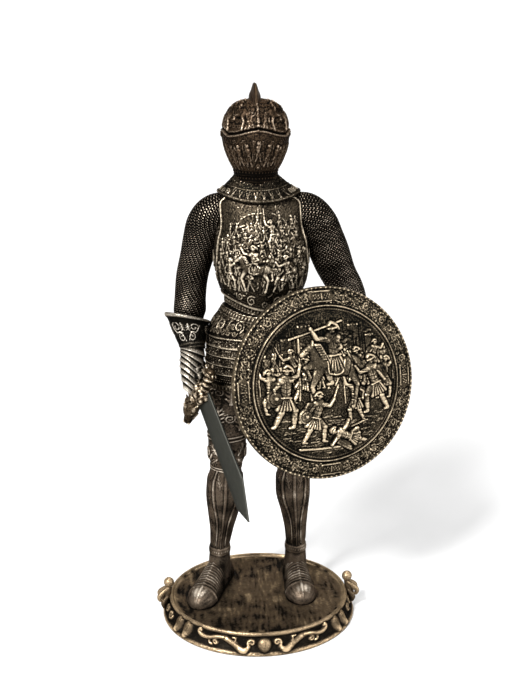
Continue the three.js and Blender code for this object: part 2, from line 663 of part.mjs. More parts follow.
/** The bar that the left hand holds, arched off the back of the shield. */
function shieldHandle(grow = 0) {
  const behind = (x) => -domeAt(Math.abs(x)) + SHIELD_WALL / 2;
  const reach = HANDLE_SPAN / 2;
  const outline = [[-1, -1.5], [-0.86, 0.6], [-0.6, 1], [0, 1], [0.6, 1], [0.86, 0.6], [1, -1.5]];
  const points = outline.map(([x, share]) => {
    const rise = share < 0 ? share : share * HANDLE_RISE;
    return vector(x * reach, behind(x * reach) + rise, 0);
  });
  return strand(points, points.map(() => HANDLE_RADIUS + grow), { sides: 6 });
}

function shield() {
  const men = [
    ['spearman', -26, -23, 35, 1],
    ['rider', 3, -14, 41, 1],
    ['swordsman', 28, -19, 34, 1],
    ['swordsman', -9, -33, 30, -1],
    ['fallen', 11, -36, 26, 1],
  ];
  const carved = men.map(([name, across, up, height, flip]) =>
    carvedMan(onShield, name, [across, up], height, flip));
  const border = SHIELD_RADIUS - SHIELD_BORDER / 2 - 0.6;
  const panel = (a) => {
    const box = new THREE.BoxGeometry(PANEL_WIDTH, 2.2, PANEL_HEIGHT);
    box.translate(0, onShield(border, 0, 0.1).y, border);
    return solidOf(box.applyMatrix4(new THREE.Matrix4().makeRotationY(a)));
  };
  const ground = [-19, -7, 7, 19].map((x) => [x, -37 + Math.abs(x) * 0.06]);
  const tower = new THREE.BoxGeometry(TOWER_WIDTH, 3, TOWER_HEIGHT);
  tower.translate(-13, onShield(13, 26, 0.4).y + 0.6, 27);
  return join([
    shieldDisc(),
    shieldHandle(),
    ridge(onShield, ground, ground.map(() => 1), 1),
    solidOf(tower),
    ...carved,
    ...[0, 1, 2, 3].map((k) => panel((k * Math.PI) / 2)),
  ]);
}

// The shield hand is closed round the handle
const SHIELD_CUFF = [54.6, 2.5, 187.5]; // the middle of the cuff's rim
const SHIELD_WRIST = [47, -9.5, 173.5];
const SHIELD_CUFF_RADII = [12.6, 6.6]; // at the rim and at the wrist
function shieldHand() {
  const held = vector(0, -domeAt(0) + SHIELD_WALL / 2 + HANDLE_RISE, 0).applyMatrix4(shieldPlace);
  const along = vector(1, 0, 0).transformDirection(shieldPlace);
  const outward = vector(0, -1, 0).transformDirection(shieldPlace);
  const palm = held.clone().addScaledVector(outward, -4 * unit);
  const local = (p) => [p.x / unit, p.y / unit, (p.z - soleLevel) / unit];
  const hand = join([
    cuff(SHIELD_CUFF, SHIELD_WRIST, SHIELD_CUFF_RADII, vector(-0.4, -0.7, -0.8)),
    plates([[...SHIELD_WRIST, 6.8], [...local(palm), 8.6]], 3, palm.clone().sub(onFigure(...SHIELD_WRIST))),
    knob(palm, 9.6 * unit, { stretch: 0.9, along: outward }),
    fingers(held, along, outward, 4.6),
  ]);
  const clear = shieldHandle(CLEARANCE).transform(shieldPlace.elements);
  return hand.subtract(clear);
}

function knight() {
  const whole = join([
    helmet(),
    gorget(),
    trunk(),
    skirt(),
    limb(RIGHT_SLEEVE, 7, 10),
    limb(LEFT_SLEEVE, 8, 10),
    swordHand(),
    shieldHand(),
    leg(RIGHT_LEG, RIGHT_HEEL, RIGHT_TOEWARD),
    leg(LEFT_LEG, LEFT_HEEL, LEFT_TOEWARD),
  ]);
  const slot = solidOf(bladeShape(CLEARANCE)).transform(bladePlace.elements);
  return whole.subtract(slot);
}

// The plinth: an oval moulded body, with scrollwork, leaves and end brackets standing on its side
const WALL_ROWS = [
  [PLINTH_FLARE - 0.6, 0],
  [PLINTH_FLARE, 1.9],
  [PLINTH_FLARE - 1.6, 2.8],
  [0.9, 5.9],
  [-0.6, PLINTH_HEIGHT - 3.2],
  [0, PLINTH_HEIGHT - 2.4],
  [-0.4, PLINTH_HEIGHT],
  [0.8 - RING_WIDTH, PLINTH_HEIGHT],
  [-RING_WIDTH, floorLevel],
];
function ovalPoint(angle, offset, z) {
  const across = (PLINTH_HALF_WIDTH + offset) * Math.sin(angle);
  const along = (PLINTH_HALF_DEPTH + offset) * Math.cos(angle);
  return vector(across, -along, z);
}
/** A surface for relief on the hollowed side of the plinth: arc from the middle of the front, and height. */
function onWall(arc, z, out) {
  const rows = WALL_ROWS.slice(1, 5);
  const k = Math.max(0, rows.findIndex(([, level]) => level >= z) - 1);
  const t = Math.min(1, Math.max(0, (z - rows[k][1]) / (rows[k + 1][1] - rows[k][1])));
  return ovalPoint(arc / PLINTH_HALF_DEPTH, mix(rows[k][0], rows[k + 1][0], t) + out, z);
}

// Strokes of the scrollwork: arc from the middle of the front, height, and half width
const SCROLL = [
  [
    [6.2, 8.4, 1], [8.4, 6.4, 1.2], [7, 4, 1.3], [11, 3.4, 1.7], [17, 6.4, 2], [24, 8.6, 1.8],
    [28, 5.4, 1.4],
  ],
  [[22.5, 9, 1.2], [30, 7, 1.4], [36.5, 7.2, 1.7], [38.2, 10, 1.2]],
];
const LEAVES = [[46.5, 2.4], [54.5, 2.8]]; // arc, and how far the tip leans
const SCROLL_RISE = 1.7;
const LEAF_RISE = 1.6;
const HALF_ROUND = Math.PI * PLINTH_HALF_DEPTH;

function ornament(mirror, behind) {
  const surface = (arc, z, out) => onWall(behind ? HALF_ROUND - mirror * arc : mirror * arc, z, out);
  const stroke = (points, rise) => ridge(surface, points, points.map(([, , width]) => width), rise);
  const leaf = ([arc, lean]) => {
    const blade = [[arc - lean, 9.9, 0.4], [arc, 6.6, 2.1], [arc + lean * 0.5, 3, 0.4]];
    return stroke(blade, LEAF_RISE);
  };
  const strokes = behind ? SCROLL.slice(0, 1) : SCROLL; // the back is plainer
  return [...strokes.map((points) => stroke(points, SCROLL_RISE)), ...LEAVES.map(leaf)];
}

// The brackets: out from the ring, share of the leaf's spread, height over the ring, and radius
const BRACKET_LEAF = [[0.6, 0.3, 3.6, 1.6], [4.2, 0.8, 1.6, 2], [7, 1, -1.2, 1.7], [4.4, 0.9, -4.8, 1.2]];
const BRACKET_STEM = [[0.4, 0, BALL_RISE - 0.6, 2], [0.8, 0, 3, 2.4], [2, 0, -0.4, 2.7], [3.6, 0, -9, 1.7]];
const LEAF_SPREAD = 3; // of the bracket's two leaves, to either side of its stem
const BALL_OUT = 0.4;

function bracket(side) {
  const spot = (out, y, z) => vector(side * (PLINTH_HALF_WIDTH + out), y, PLINTH_HEIGHT + z);
  const branch = (rows, spread, sides) =>
    strand(rows.map(([out, share, z]) => spot(out, share * spread, z)), rows.map((row) => row[3]), { sides });
  return join([
    knob(spot(BALL_OUT, 0, BALL_RISE), BALL_RADIUS),
    branch(BRACKET_LEAF, -LEAF_SPREAD, 4),
    branch(BRACKET_LEAF, LEAF_SPREAD, 4),
    branch(BRACKET_STEM, 0, 5),
  ]);
}

function plinth() {
  const around = turn(32);
  const body = skin(WALL_ROWS.map(([offset, z]) => around.map((a) => ovalPoint(a, offset, z))));
  const beads = [0, HALF_ROUND].map((arc) => knob(onWall(arc, BEAD_LEVEL, 0.4), BEAD_RADIUS));
  const carving = [1, -1].flatMap((mirror) => [...ornament(mirror, false), ...ornament(mirror, true)]);
  return join([body, ...beads, ...carving, bracket(-1), bracket(1)]);
}

const BRONZE = { color: 0x4a3b2e, roughness: 0.45, metalness: 0.7 };
const STEEL = { color: 0x45453f, roughness: 0.5, metalness: 0.6 };
function piece(name, geometry, finish) {
  const mesh = new THREE.Mesh(geometry, new THREE.MeshStandardMaterial(finish));
  mesh.name = name;
  return mesh;
}

const statuette = new THREE.Group();
statuette.name = 'knight_statuette';
statuette.add(piece('plinth', geometryOf(plinth()), BRONZE));
statuette.add(piece('knight', geometryOf(knight()), BRONZE));

const shieldMesh = piece('shield', geometryOf(shield()), BRONZE);
shieldMesh.applyMatrix4(shieldPlace);
statuette.add(shieldMesh);

const blade = piece('sword_blade', geometryOf(solidOf(bladeShape())), STEEL);
blade.applyMatrix4(bladePlace);
statuette.add(blade);

export default statuette;
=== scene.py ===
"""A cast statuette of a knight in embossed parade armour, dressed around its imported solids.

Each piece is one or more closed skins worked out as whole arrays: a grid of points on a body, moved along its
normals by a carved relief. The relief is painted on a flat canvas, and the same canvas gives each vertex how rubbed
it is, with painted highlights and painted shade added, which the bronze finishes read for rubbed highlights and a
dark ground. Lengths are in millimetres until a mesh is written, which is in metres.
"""

import sys

import logging
from dataclasses import dataclass
from enum import Enum

import bpy
import numpy as np
from mathutils import Matrix, Vector

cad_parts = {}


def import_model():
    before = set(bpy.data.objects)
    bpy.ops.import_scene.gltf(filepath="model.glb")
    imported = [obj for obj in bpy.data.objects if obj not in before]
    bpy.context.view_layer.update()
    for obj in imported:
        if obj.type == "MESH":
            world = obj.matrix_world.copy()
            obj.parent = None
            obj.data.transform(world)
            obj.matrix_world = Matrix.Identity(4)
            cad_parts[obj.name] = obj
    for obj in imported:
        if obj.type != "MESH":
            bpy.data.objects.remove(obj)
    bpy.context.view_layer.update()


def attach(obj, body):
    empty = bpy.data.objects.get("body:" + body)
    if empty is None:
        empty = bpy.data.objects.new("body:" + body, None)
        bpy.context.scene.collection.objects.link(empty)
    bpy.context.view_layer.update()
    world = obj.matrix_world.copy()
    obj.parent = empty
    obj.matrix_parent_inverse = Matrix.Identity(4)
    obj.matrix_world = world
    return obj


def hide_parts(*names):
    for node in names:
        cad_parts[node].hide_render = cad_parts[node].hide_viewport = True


LOG = logging.getLogger("statuette")
Array = np.ndarray
Point = tuple[float, float]
Place = tuple[float, float, float]
Box = tuple[float, float, float, float]
# A skin's second array is how rubbed it is, with painted highlights and painted shade in it.
Skin = tuple[Array, Array]  # rings by points by three, and the wear at each point

SOLE = 12.0  # height of the soles over the foot of the plinth
METRE = 0.001
Node, Socket, Tree = bpy.types.Node, bpy.types.NodeSocket, bpy.types.NodeTree


# Curves and fields


def smooth(points: Array, per_span: int = 6) -> Array:
    """A Catmull-Rom curve, p(t) = (2b + (c - a) t + (2a - 5b + 4c - d) t^2 + (3b - a - 3c + d) t^3) / 2 from b to c.

    Args:
        points: One row each, of any number of columns.
        per_span: Samples to a span.

    Returns:
        The samples, the last point included.
    """
    held = np.asarray(points, float)
    grown = np.vstack([2 * held[0] - held[1], held, 2 * held[-1] - held[-2]])
    a, b, c, d = grown[:-3, None], grown[1:-2, None], grown[2:-1, None], grown[3:, None]
    t = (np.arange(per_span) / per_span)[None, :, None]
    spans = 0.5 * (2 * b + (c - a) * t + (2 * a - 5 * b + 4 * c - d) * t**2 + (3 * b - a - 3 * c + d) * t**3)
    return np.vstack([spans.reshape(-1, held.shape[1]), held[-1:]])


def respaced(samples: Array, count: int, weights: int = 3) -> Array:
    """The same curve at equal steps of its length.

    Args:
        samples: Points, one row each.
        count: How many to give back.
        weights: How many leading columns measure its length.

    Returns:
        The new points.
    """
    steps = np.linalg.norm(np.diff(samples[:, :weights], axis=0), axis=1)
    along = run_of(steps)
    wanted = np.linspace(0.0, along[-1], count)
    return np.stack([np.interp(wanted, along, column) for column in samples.T], axis=1)


def ease(low: float, high: float, value: Array) -> Array:
    """A smooth step from 0 at low to 1 at high: 3 t^2 - 2 t^3."""
    t = np.clip((value - low) / (high - low), 0, 1)
    return t * t * (3 - 2 * t)


def hump(distance: Array, half: float) -> Array:
    """A round moulding of height 1 and a half width: the root of 1 - (d / half)^2."""
    return np.sqrt(np.clip(1 - (distance / half) ** 2, 0, 1))


def saw(value: Array, pitch: float) -> Array:
    """How far a value has come through its pitch, from 0 to 1."""
    return value / pitch - np.floor(value / pitch)


def blurred(values: Array, sigma: float, wraps: bool) -> Array:
    """A field softened by a Gaussian mean, worked out with a Fourier transform.

    Args:
        values: Rows by columns.
        sigma: The width of the mean, in cells.
        wraps: Whether the last column meets the first.

    Returns:
        The softened field.
    """
    pad = int(3 * sigma) + 1
    sides = (0, 0) if wraps else (pad, pad)
    grown = np.pad(values, ((pad, pad), sides), mode="edge")
    down = np.fft.fftfreq(grown.shape[0])[:, None]
    over = np.fft.rfftfreq(grown.shape[1])[None]
    keep = np.exp(-2 * (np.pi * sigma) ** 2 * (down**2 + over**2))
    soft = np.fft.irfft2(np.fft.rfft2(grown) * keep, s=grown.shape)
    return soft[pad:-pad, sides[0] : soft.shape[1] - sides[1]]


# Carving

FAR = 1e9
DEEPEST_CUT = -0.9  # no groove is sunk lower
FINE_REACH, FINE_GAIN = 0.35, 1.2  # of the closer of the two looks that the wear takes, as shares of the other's
SPREAD = 0.4  # how wide the ridges of a roughened ground are, as a share of its noise

@dataclass(frozen=True)
class Stroke:
    """One rounded stroke of carving: a path, a half width at each point, and a height, below zero for a cut."""

    path: Array
    widths: Array
    height: float


def stroke(points: list[Point], widths: float | list[float], height: float, curved: bool = True) -> Stroke:
    """A stroke through points.

    Args:
        points: Across and up, in millimetres.
        widths: A half width for all, or one at each.
        height: How far its crest stands out.
        curved: Whether its path is smooth.

    Returns:
        The stroke.
    """
    sizes = np.broadcast_to(np.asarray(widths, float), (len(points),))
    rows = np.column_stack([np.asarray(points, float), sizes])
    rows = smooth(rows, 5) if curved and len(points) > 2 else rows
    return Stroke(rows[:, :2], np.maximum(rows[:, 2], 0.05), height)


def spiral(centre: Point, radius: float, turns: float, start: float, hand: int, width: float, height: float) -> Stroke:
    """A curl that winds in: its radius falls to a quarter as the angle goes round.

    Args:
        centre: Where it ends.
        radius: Where it begins.
        turns: How many times it goes round.
        start: Its first angle, in radians.
        hand: 1 winds to the left, and -1 to the right.
        width: Its first half width.
        height: How far its crest stands out.

    Returns:
        The stroke.
    """
    t = np.linspace(0, 1, 16)
    angle = start + hand * 2 * np.pi * turns * t
    reach = radius * (1 - 0.75 * t)
    path = np.array(centre) + np.column_stack([np.cos(angle), np.sin(angle)]) * reach[:, None]
    return Stroke(path, width * (1 - 0.3 * t) + 0.35 * width * (t > 0.93), height)


def leaf(base: Point, tip: Point, half: float, height: float, lobes: int = 3) -> list[Stroke]:
    """An acanthus leaf: a midrib with pairs of lobes that lean to its tip.

    Args:
        base: Where it grows from.
        tip: Where it ends.
        half: Its half width.
        height: How far the midrib stands out.
        lobes: Pairs of lobes.

    Returns:
        Its strokes.
    """
    a, b = np.array(base, float), np.array(tip, float)
    along = b - a
    side = np.array([-along[1], along[0]]) / (np.linalg.norm(along) + 1e-9) * half
    strokes = [Stroke(np.array([a, (a + b) / 2, b]), np.array([0.28, 0.24, 0.1]) * half, height)]
    for k in range(lobes):
        t = (k + 0.4) / (lobes + 0.6)
        reach = np.sin(np.pi * (0.25 + 0.65 * t))
        for hand in (-1, 1):
            root = a + along * t
            end = a + along * min(1.0, t + 0.75 / lobes) + hand * side * reach
            strokes.append(Stroke(np.array([root, end]), np.array([0.24, 0.17]) * half, height * 0.8))
    return strokes


def ball(at: Point, radius: float, height: float) -> Stroke:
    """A round boss."""
    return Stroke(np.array([at, (at[0] + 1e-3, at[1])]), np.array([radius, radius]), height)


class Weapon(Enum):
    """What a carved man holds."""

    SPEAR = "spear"
    SWORD = "sword"
    BANNER = "banner"
    NONE = "none"


@dataclass(frozen=True)
class Stance:
    """How a carved man stands, in radians: lean of the trunk, stride of the legs and lift of the near arm."""

    lean: float = 0.1
    stride: float = 0.4
    lift: float = 0.4
    weapon: Weapon = Weapon.SPEAR
    shield: bool = False
    kilt: bool = True


def hand_of(number: int) -> int:
    """1 for an odd number and -1 for an even one."""
    return 1 if number % 2 else -1


def turned(origin: Array, length: float, angle: float) -> Array:
    """The point at a distance from another, at an angle up from the +X side."""
    return origin + length * np.array([np.cos(angle), np.sin(angle)])


class Drawing:
    """Strokes drawn on a unit height: the points, half widths and height of each, as shares of the whole."""

    def __init__(self) -> None:
        """Makes an empty drawing."""
        self.parts: list[tuple[list, list[float] | float, float]] = []

    def add(self, points: list, widths: list[float] | float, height: float) -> None:
        """Adds one stroke."""
        self.parts.append((points, widths, height))

    def placed(self, at: Point, size: float, flip: int, deepest: float = np.inf) -> list[Stroke]:
        """Its strokes, set at a point.

        Args:
            at: Where its origin goes.
            size: The height of the whole.
            flip: -1 turns it left for right.
            deepest: The size past which it stands out no further.

        Returns:
            The strokes, in millimetres.
        """
        strokes = []
        for points, widths, height in self.parts:
            spots = [(at[0] + flip * float(p[0]) * size, at[1] + float(p[1]) * size) for p in points]
            sizes = [float(w) * size for w in np.broadcast_to(np.asarray(widths, float), (len(points),))]
            rise = height * (min(size, deepest) / size) * size
            strokes.append(stroke(spots, sizes, rise, curved=len(points) > 3))
        return strokes


def soldier(at: Point, size: float, flip: int, stance: Stance) -> list[Stroke]:
    """A man at arms in low relief, drawn from lengths and angles: legs of 0.25 and 0.24, arms of 0.16 and 0.14.

    Args:
        at: Between his feet.
        size: His height.
        flip: 1 where he faces right, and -1 left.
        stance: His pose and kit.

    Returns:
        His strokes.
    """
    down = -np.pi / 2
    hip = np.array([0.0, 0.49])
    chest = turned(hip, 0.28, np.pi / 2 - stance.lean)
    head = turned(chest, 0.16, np.pi / 2 - stance.lean * 0.5)
    man = Drawing()
    for swing, bend in ((stance.stride, 0.1), (-stance.stride * 0.75, -0.35)):
        knee = turned(hip, 0.25, down + swing)
        foot = turned(knee, 0.24, down + swing * 0.3 + bend)
        man.add([hip, knee, foot], [0.066, 0.05, 0.03], 0.055)
        man.add([foot, foot + (0.08, -0.005)], [0.032, 0.02], 0.04)
    elbow = turned(chest, 0.16, stance.lift)
    hand = turned(elbow, 0.14, stance.lift + 0.7)
    back = turned(chest, 0.15, down - 0.7)
    rest = turned(back, 0.13, down + 0.5)
    if stance.weapon is Weapon.SPEAR:
        man.add([hand + (-0.06, -0.55), hand + (0.06, 0.5)], 0.014, 0.035)
    if stance.weapon is Weapon.SWORD:
        man.add([hand, turned(hand, 0.36, stance.lift + 1.5)], [0.022, 0.012], 0.04)
    if stance.weapon is Weapon.BANNER:
        top = hand + (0.02, 0.75)
        man.add([hand + (-0.02, -0.4), top], 0.014, 0.035)
        man.add([top, top + (0.14, 0.02), top + (0.26, -0.06), top + (0.4, -0.03)], [0.05, 0.06, 0.06, 0.02], 0.035)
    if stance.kilt:
        for k in (-1.0, -0.35, 0.35, 1.0):
            man.add([hip + (0.045 * k, 0.02), hip + (0.12 * k + 0.02, -0.15)], [0.045, 0.04], 0.065)
            man.add([hip + (0.03 * k + 0.015, 0.0), hip + (0.1 * k + 0.045, -0.17)], 0.012, -0.035)
    man.add([hip, chest], [0.075, 0.1], 0.075)
    man.add([chest + (-0.07, 0.015), chest + (0.07, 0.015)], 0.05, 0.07)
    man.add([hip + (-0.08, 0.02), hip + (0.08, 0.02)], 0.013, -0.03)
    man.add([chest + (-0.09, -0.1), chest + (0.09, -0.1)], 0.011, -0.025)
    man.add([chest + (0.05, 0), elbow, hand], [0.045, 0.038, 0.026], 0.06)
    man.add([chest - (0.06, 0), back, rest], [0.045, 0.038, 0.026], 0.05)
    man.add([head, head + (0.005, 0.035)], [0.058, 0.055], 0.085)
    man.add([head + (-0.06, 0.035), head + (-0.01, 0.1), head + (0.05, 0.075)], [0.02, 0.024, 0.016], 0.08)
    if stance.shield:
        man.add([back + (-0.03, -0.04), back + (-0.03, 0.06)], [0.13, 0.13], 0.06)
        man.add([back + (-0.03, 0.01), back + (-0.028, 0.01)], 0.04, 0.085)
    return man.placed(at, size, flip)


@dataclass(frozen=True)
class Pose:
    """The joints of a carved man on a unit height, and of his horse, if he has one."""

    head: Point
    trunk: tuple[Point, Point]
    arms: tuple[tuple[Point, ...], ...]
    legs: tuple[tuple[Point, ...], ...]
    tool: tuple[Point, Point]
    mount: tuple[Point, ...] = ()
    hooves: tuple[tuple[Point, ...], ...] = ()


SPEARMAN = Pose(
    head=(0.03, 0.92),
    trunk=((0.0, 0.8), (-0.02, 0.5)),
    arms=(((0.05, 0.79), (0.2, 0.86), (0.24, 1.02)), ((-0.07, 0.78), (-0.2, 0.66), (-0.18, 0.52))),
    legs=(((0.0, 0.5), (0.13, 0.29), (0.1, 0.03)), ((-0.05, 0.5), (-0.1, 0.27), (-0.22, 0.05))),
    tool=((0.22, 0.45), (0.26, 1.45)),
)
SWORDSMAN = Pose(
    head=(-0.05, 0.88),
    trunk=((-0.06, 0.76), (0.03, 0.48)),
    arms=(((-0.11, 0.75), (-0.27, 0.7), (-0.36, 0.82)), ((0.0, 0.76), (0.12, 0.64), (0.2, 0.54))),
    legs=(((0.0, 0.48), (-0.16, 0.3), (-0.14, 0.03)), ((0.06, 0.48), (0.14, 0.26), (0.27, 0.04))),
    tool=((-0.35, 0.8), (-0.47, 1.08)),
)
FALLEN = Pose(
    head=(-0.36, 0.34),
    trunk=((-0.24, 0.28), (0.04, 0.17)),
    arms=(((-0.26, 0.24), (-0.34, 0.13), (-0.42, 0.03)), ((-0.2, 0.31), (-0.08, 0.42), (-0.02, 0.56))),
    legs=(((0.03, 0.19), (0.19, 0.34), (0.28, 0.06)), ((0.05, 0.14), (0.24, 0.1), (0.44, 0.04))),
    tool=((0.06, 0.4), (0.42, 0.5)),
)
RIDER = Pose(
    head=(0.02, 1.08),
    trunk=((0.0, 0.97), (0.02, 0.72)),
    arms=(((-0.06, 0.95), (-0.22, 0.98), (-0.3, 1.12)), ((0.06, 0.94), (0.12, 0.84), (0.0, 0.78))),
    legs=(((0.02, 0.7), (-0.1, 0.52), (-0.04, 0.36)),),
    tool=((-0.62, 1.0), (0.18, 1.2)),
    mount=((0.3, 0.58), (0.02, 0.56), (-0.22, 0.66), (-0.32, 0.86), (-0.46, 0.78)),
    hooves=(
        ((0.3, 0.62), (0.44, 0.52), (0.46, 0.32)),
        ((0.22, 0.56), (0.34, 0.3), (0.28, 0.02)),
        ((-0.24, 0.66), (-0.42, 0.6), (-0.36, 0.46)),
        ((-0.2, 0.58), (-0.34, 0.34), (-0.26, 0.04)),
    ),
)
DEEPEST_MAN = 22.0  # a taller man stands out no further than one of this height


def horse(man: Drawing, pose: Pose) -> None:
    """Adds a horse on its joints: rump, barrel, chest, neck and muzzle, with legs, hooves, mane, tail and tack.

    Args:
        man: The drawing of its rider.
        pose: Its joints.
    """
    rump, barrel, chest, neck, muzzle = (np.array(p) for p in pose.mount)
    for k, leg in enumerate(pose.hooves):
        root, knee, hoof = (np.array(p) for p in leg)
        high = 0.045 + 0.012 * (k % 2)
        man.add([root, (root + knee) / 2, knee], [0.085, 0.06, 0.038], high + 0.01)
        man.add([knee, hoof], [0.034, 0.024], high)
        man.add([hoof, hoof + (-0.02, -0.02)], [0.03, 0.034], high)
    for k in range(4):
        spread = 0.035 * (k - 1.5)
        tail = [rump + (0.08, 0.02), rump + (0.2 + spread, 0.02), rump + (0.24 + 1.6 * spread, -0.16)]
        man.add(tail, [0.03, 0.03, 0.012], 0.045)
    man.add([rump, barrel, chest], [0.135, 0.12, 0.125], 0.075)
    man.add([chest, neck], [0.11, 0.065], 0.07)
    man.add([neck, muzzle], [0.062, 0.036], 0.075)
    man.add([neck + (0.02, 0.04), neck + (0.03, 0.1)], [0.024, 0.01], 0.08)
    for t in np.linspace(0.0, 1.0, 7):
        root = chest + (neck - chest) * t + (0.06, 0.04)
        man.add([root, root + (0.07, 0.0), root + (0.1, -0.05)], [0.024, 0.02, 0.01], 0.085)
    man.add([chest + (0.1, 0.1), barrel + (-0.04, -0.1)], 0.012, -0.02)
    man.add([rump + (-0.03, 0.1), rump + (-0.08, -0.1)], 0.012, -0.02)
    man.add([neck + (-0.02, -0.05), muzzle + (0.05, 0.05)], 0.008, -0.02)
    cloth = [barrel + (-0.12, 0.1), barrel + (-0.1, -0.06), barrel + (0.08, -0.07), barrel + (0.14, 0.1)]
    man.add(cloth, 0.016, 0.095)


def warrior(at: Point, size: float, flip: int, pose: Pose, target: bool = False) -> list[Stroke]:
    """A man in half relief on a pose's joints, with a pleated kilt, belt, cuirass, crested helmet and cloak.

    Args:
        at: Between his feet.
        size: His height.
        flip: -1 turns him left for right.
        pose: His joints.
        target: Whether he carries a round shield.

    Returns:
        His strokes, and his horse's.
    """
    neck, hip, head = (np.array(p) for p in (*pose.trunk, pose.head))
    up = unit(neck - hip)
    side = np.array([up[1], -up[0]])
    man = Drawing()
    if pose.mount:
        horse(man, pose)
    man.add(list(pose.tool), 0.013, 0.04)
    away = side * (1 if pose.tool[1][0] < neck[0] + 0.1 else -1)
    for k in range(3):
        reach, fall = 0.1 + 0.05 * k, 0.32 + 0.05 * k
        cloak = [neck - away * 0.02, neck + away * reach - up * 0.06, neck + away * (reach + 0.07) - up * fall]
        man.add(cloak, [0.03, 0.04, 0.035], 0.035 + 0.01 * (k % 2))
    for k, leg in enumerate(pose.legs):
        root, knee, foot = (np.array(p) for p in leg)
        shin = (knee + foot) / 2
        man.add([root, knee], [0.075, 0.05], 0.052 + 0.01 * k)
        man.add([knee, shin, foot], [0.04, 0.046, 0.026], 0.05 + 0.01 * k)
        man.add([foot, foot + (-0.07, -0.015)], [0.03, 0.018], 0.045)
        man.add([knee + (-0.02, 0.01), knee + (0.02, 0.01)], 0.034, 0.068 + 0.01 * k)
        man.add([shin + (-0.05, 0.02), shin + (0.05, 0.03)], 0.008, -0.018)
        man.add([foot + (-0.04, 0.04), foot + (0.04, 0.045)], 0.008, -0.018)
    for k in np.linspace(-1, 1, 6):
        man.add([hip + side * 0.055 * k + up * 0.02, hip + side * 0.135 * k - up * 0.17], [0.024, 0.034], 0.075)
    for k in np.linspace(-0.8, 0.8, 5):
        man.add([hip + side * 0.055 * k, hip + side * 0.14 * k - up * 0.2], 0.011, -0.035)
    man.add([hip, (hip + neck) / 2, neck], [0.072, 0.09, 0.1], 0.082)
    man.add([neck - side * 0.09, neck + side * 0.09], 0.046, 0.082)
    man.add([neck - up * 0.03, hip + up * 0.05], 0.009, -0.02)
    for drop in (0.12, 0.19):
        arch = [neck - side * 0.09 - up * drop, neck - up * (drop + 0.03), neck + side * 0.09 - up * drop]
        man.add(arch, 0.009, -0.02)
    man.add([hip - side * 0.085 + up * 0.02, hip + side * 0.085 + up * 0.02], 0.017, 0.1)
    for arm in pose.arms:
        shoulder, elbow, hand = (np.array(p) for p in arm)
        man.add([shoulder, elbow, hand], [0.05, 0.036, 0.026], 0.072)
        man.add([shoulder, shoulder + (0.002, 0)], 0.056, 0.09)
        fold = shoulder * 0.6 + elbow * 0.4
        man.add([fold - (0.05, 0), fold + (0.05, 0)], 0.009, -0.02)
        man.add([hand, hand + (0.002, 0)], 0.032, 0.078)
    man.add([head - side * 0.01, head - side * 0.008 + up * 0.03], [0.05, 0.05], 0.085)
    man.add([head - side * 0.062 + up * 0.03, head + side * 0.062 + up * 0.028], 0.014, 0.105)
    man.add([head - side * 0.05 - up * 0.005, head + side * 0.05 - up * 0.005], 0.01, -0.02)
    crest = [head - side * 0.05 + up * 0.075, head + up * 0.105, head + side * 0.07 + up * 0.06, head + side * 0.1]
    man.add(crest, [0.018, 0.024, 0.024, 0.012], 0.095)
    if target:
        grip = np.array(pose.arms[1][2])
        man.add([grip, grip + (0.002, 0)], 0.15, 0.075)
        man.add([grip, grip + (0.002, 0)], 0.045, 0.105)
        ring = [grip + 0.105 * np.array([np.cos(a), np.sin(a)]) for a in np.linspace(0, 2 * np.pi, 13)]
        man.add(ring, 0.009, -0.025)
    return man.placed(at, size, flip, DEEPEST_MAN)


